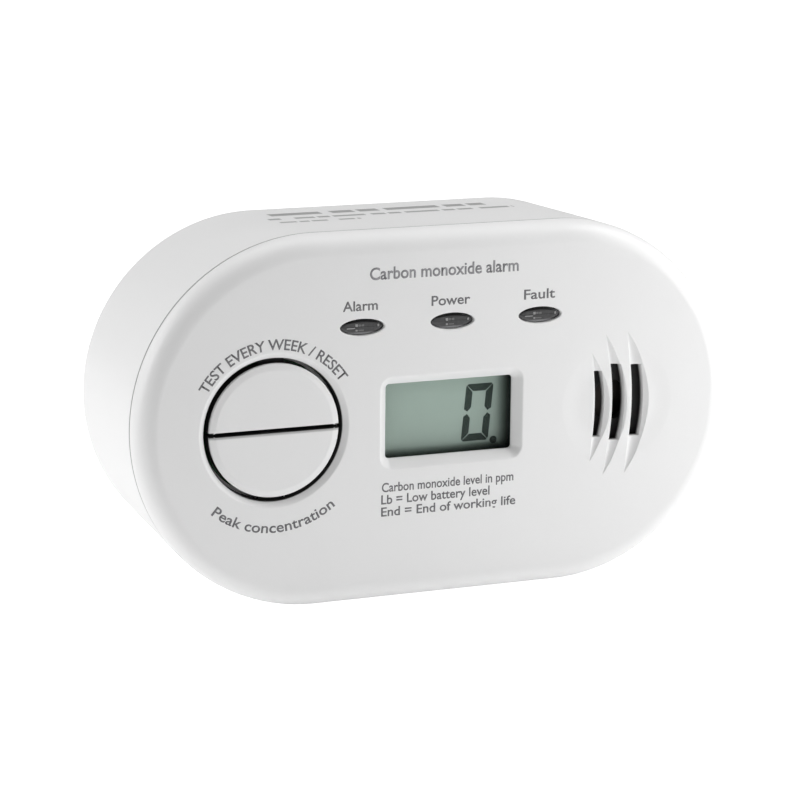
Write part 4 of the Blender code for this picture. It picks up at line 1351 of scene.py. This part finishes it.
class ALARM_OT_stage(bpy.types.Operator):
    """Sets up the floor, the soft lights and the camera"""
    bl_idname = "alarm.stage"
    bl_label = "Stage"

    def execute(self, context):
        setting = context.scene.alarm_stage
        nothing_selected()
        bpy.ops.mesh.primitive_circle_add(vertices=64, radius=3.0, fill_type="NGON", location=(0, 0.6, -0.00002))
        floor = settle("studio_floor")
        material, tree, shader = new_material("Studio floor")
        where = spot(tree)
        tone = blend(noise(where, 3.0), rgba(setting.floor, 0.99), rgba(setting.floor, 1.01))
        seen = add(tree, "ShaderNodeLightPath", output="Is Camera Ray")
        feed(shader, Base_Color=tone, Emission_Color=tone, Emission_Strength=FLOOR_GLOW + seen * FLOOR_LIFT,
             Roughness=remap(noise(where, 40.0), 0.3, 0.7, 0.55, 0.65))
        dress(floor, material)

        world = bpy.data.worlds.new("Studio")
        context.scene.world = world
        world.use_nodes = True
        feed(world.node_tree.nodes["Background"].inputs, Color=(1, 1, 1, 1), Strength=AMBIENT)
        for name, (place, size, power) in LAMPS.items():
            area_light(name, place, (0, 0, MID_Z * MM), size, power)

        az, el, roll = setting.azimuth, setting.elevation, setting.roll
        back = Vector((sin(az) * cos(el), -cos(az) * cos(el), sin(el)))
        right = Vector((0, 0, 1)).cross(back).normalized()
        up = back.cross(right)
        across = right * cos(roll) + up * sin(roll)
        upright = up * cos(roll) - right * sin(roll)
        centre = at(0, SEAM, 0) + (across * CAMERA_ACROSS + upright * CAMERA_UP) * MM
        place = centre + back * setting.distance
        turn = Matrix((across, upright, back)).transposed().to_4x4()
        bpy.ops.object.camera_add()
        camera = bpy.context.object
        camera.matrix_world = Matrix.Translation(place) @ turn
        camera.data.lens, camera.data.sensor_width, camera.data.clip_start = CAMERA_LENS, 36.0, 0.01
        context.scene.camera = camera
        context.scene.view_settings.view_transform = "Standard"
        return {"FINISHED"}


class ALARM_PT_build(bpy.types.Panel):
    """Lists the pieces of the alarm and their settings"""
    bl_label = "Wall Alarm"
    bl_idname = "ALARM_PT_build"
    bl_space_type = "VIEW_3D"
    bl_region_type = "UI"
    bl_category = "Wall Alarm"

    def draw(self, context):
        for group in (context.scene.alarm_sizes, context.scene.alarm_finishes, context.scene.alarm_stage):
            box = self.layout.box()
            for name in group.__annotations__:
                box.prop(group, name)
        for operator in OPERATORS:
            self.layout.operator(operator.bl_idname)


OPERATORS = (ALARM_OT_front_cover, ALARM_OT_rear_housing, ALARM_OT_buttons, ALARM_OT_display,
             ALARM_OT_status_lights, ALARM_OT_printing, ALARM_OT_battery_door, ALARM_OT_batteries,
             ALARM_OT_screws, ALARM_OT_electronics, ALARM_OT_stage)
GROUP_CLASSES = (AlarmSizes, AlarmFinishes, AlarmStage)


def register():
    for item in GROUP_CLASSES + OPERATORS + (ALARM_PT_build,):
        bpy.utils.register_class(item)
    bpy.types.Scene.alarm_sizes = PointerProperty(type=AlarmSizes)
    bpy.types.Scene.alarm_finishes = PointerProperty(type=AlarmFinishes)
    bpy.types.Scene.alarm_stage = PointerProperty(type=AlarmStage)


def unregister():
    for name in ("alarm_sizes", "alarm_finishes", "alarm_stage"):
        delattr(bpy.types.Scene, name)
    for item in reversed(GROUP_CLASSES + OPERATORS + (ALARM_PT_build,)):
        bpy.utils.unregister_class(item)


def main():
    register()
    bpy.ops.alarm.front_cover()
    bpy.ops.alarm.rear_housing()
    bpy.ops.alarm.buttons()
    bpy.ops.alarm.display()
    bpy.ops.alarm.status_lights()
    bpy.ops.alarm.printing()
    bpy.ops.alarm.battery_door()
    bpy.ops.alarm.batteries()
    bpy.ops.alarm.screws()
    bpy.ops.alarm.electronics()
    bpy.ops.alarm.stage()


if __name__ == "__main__":
    main()
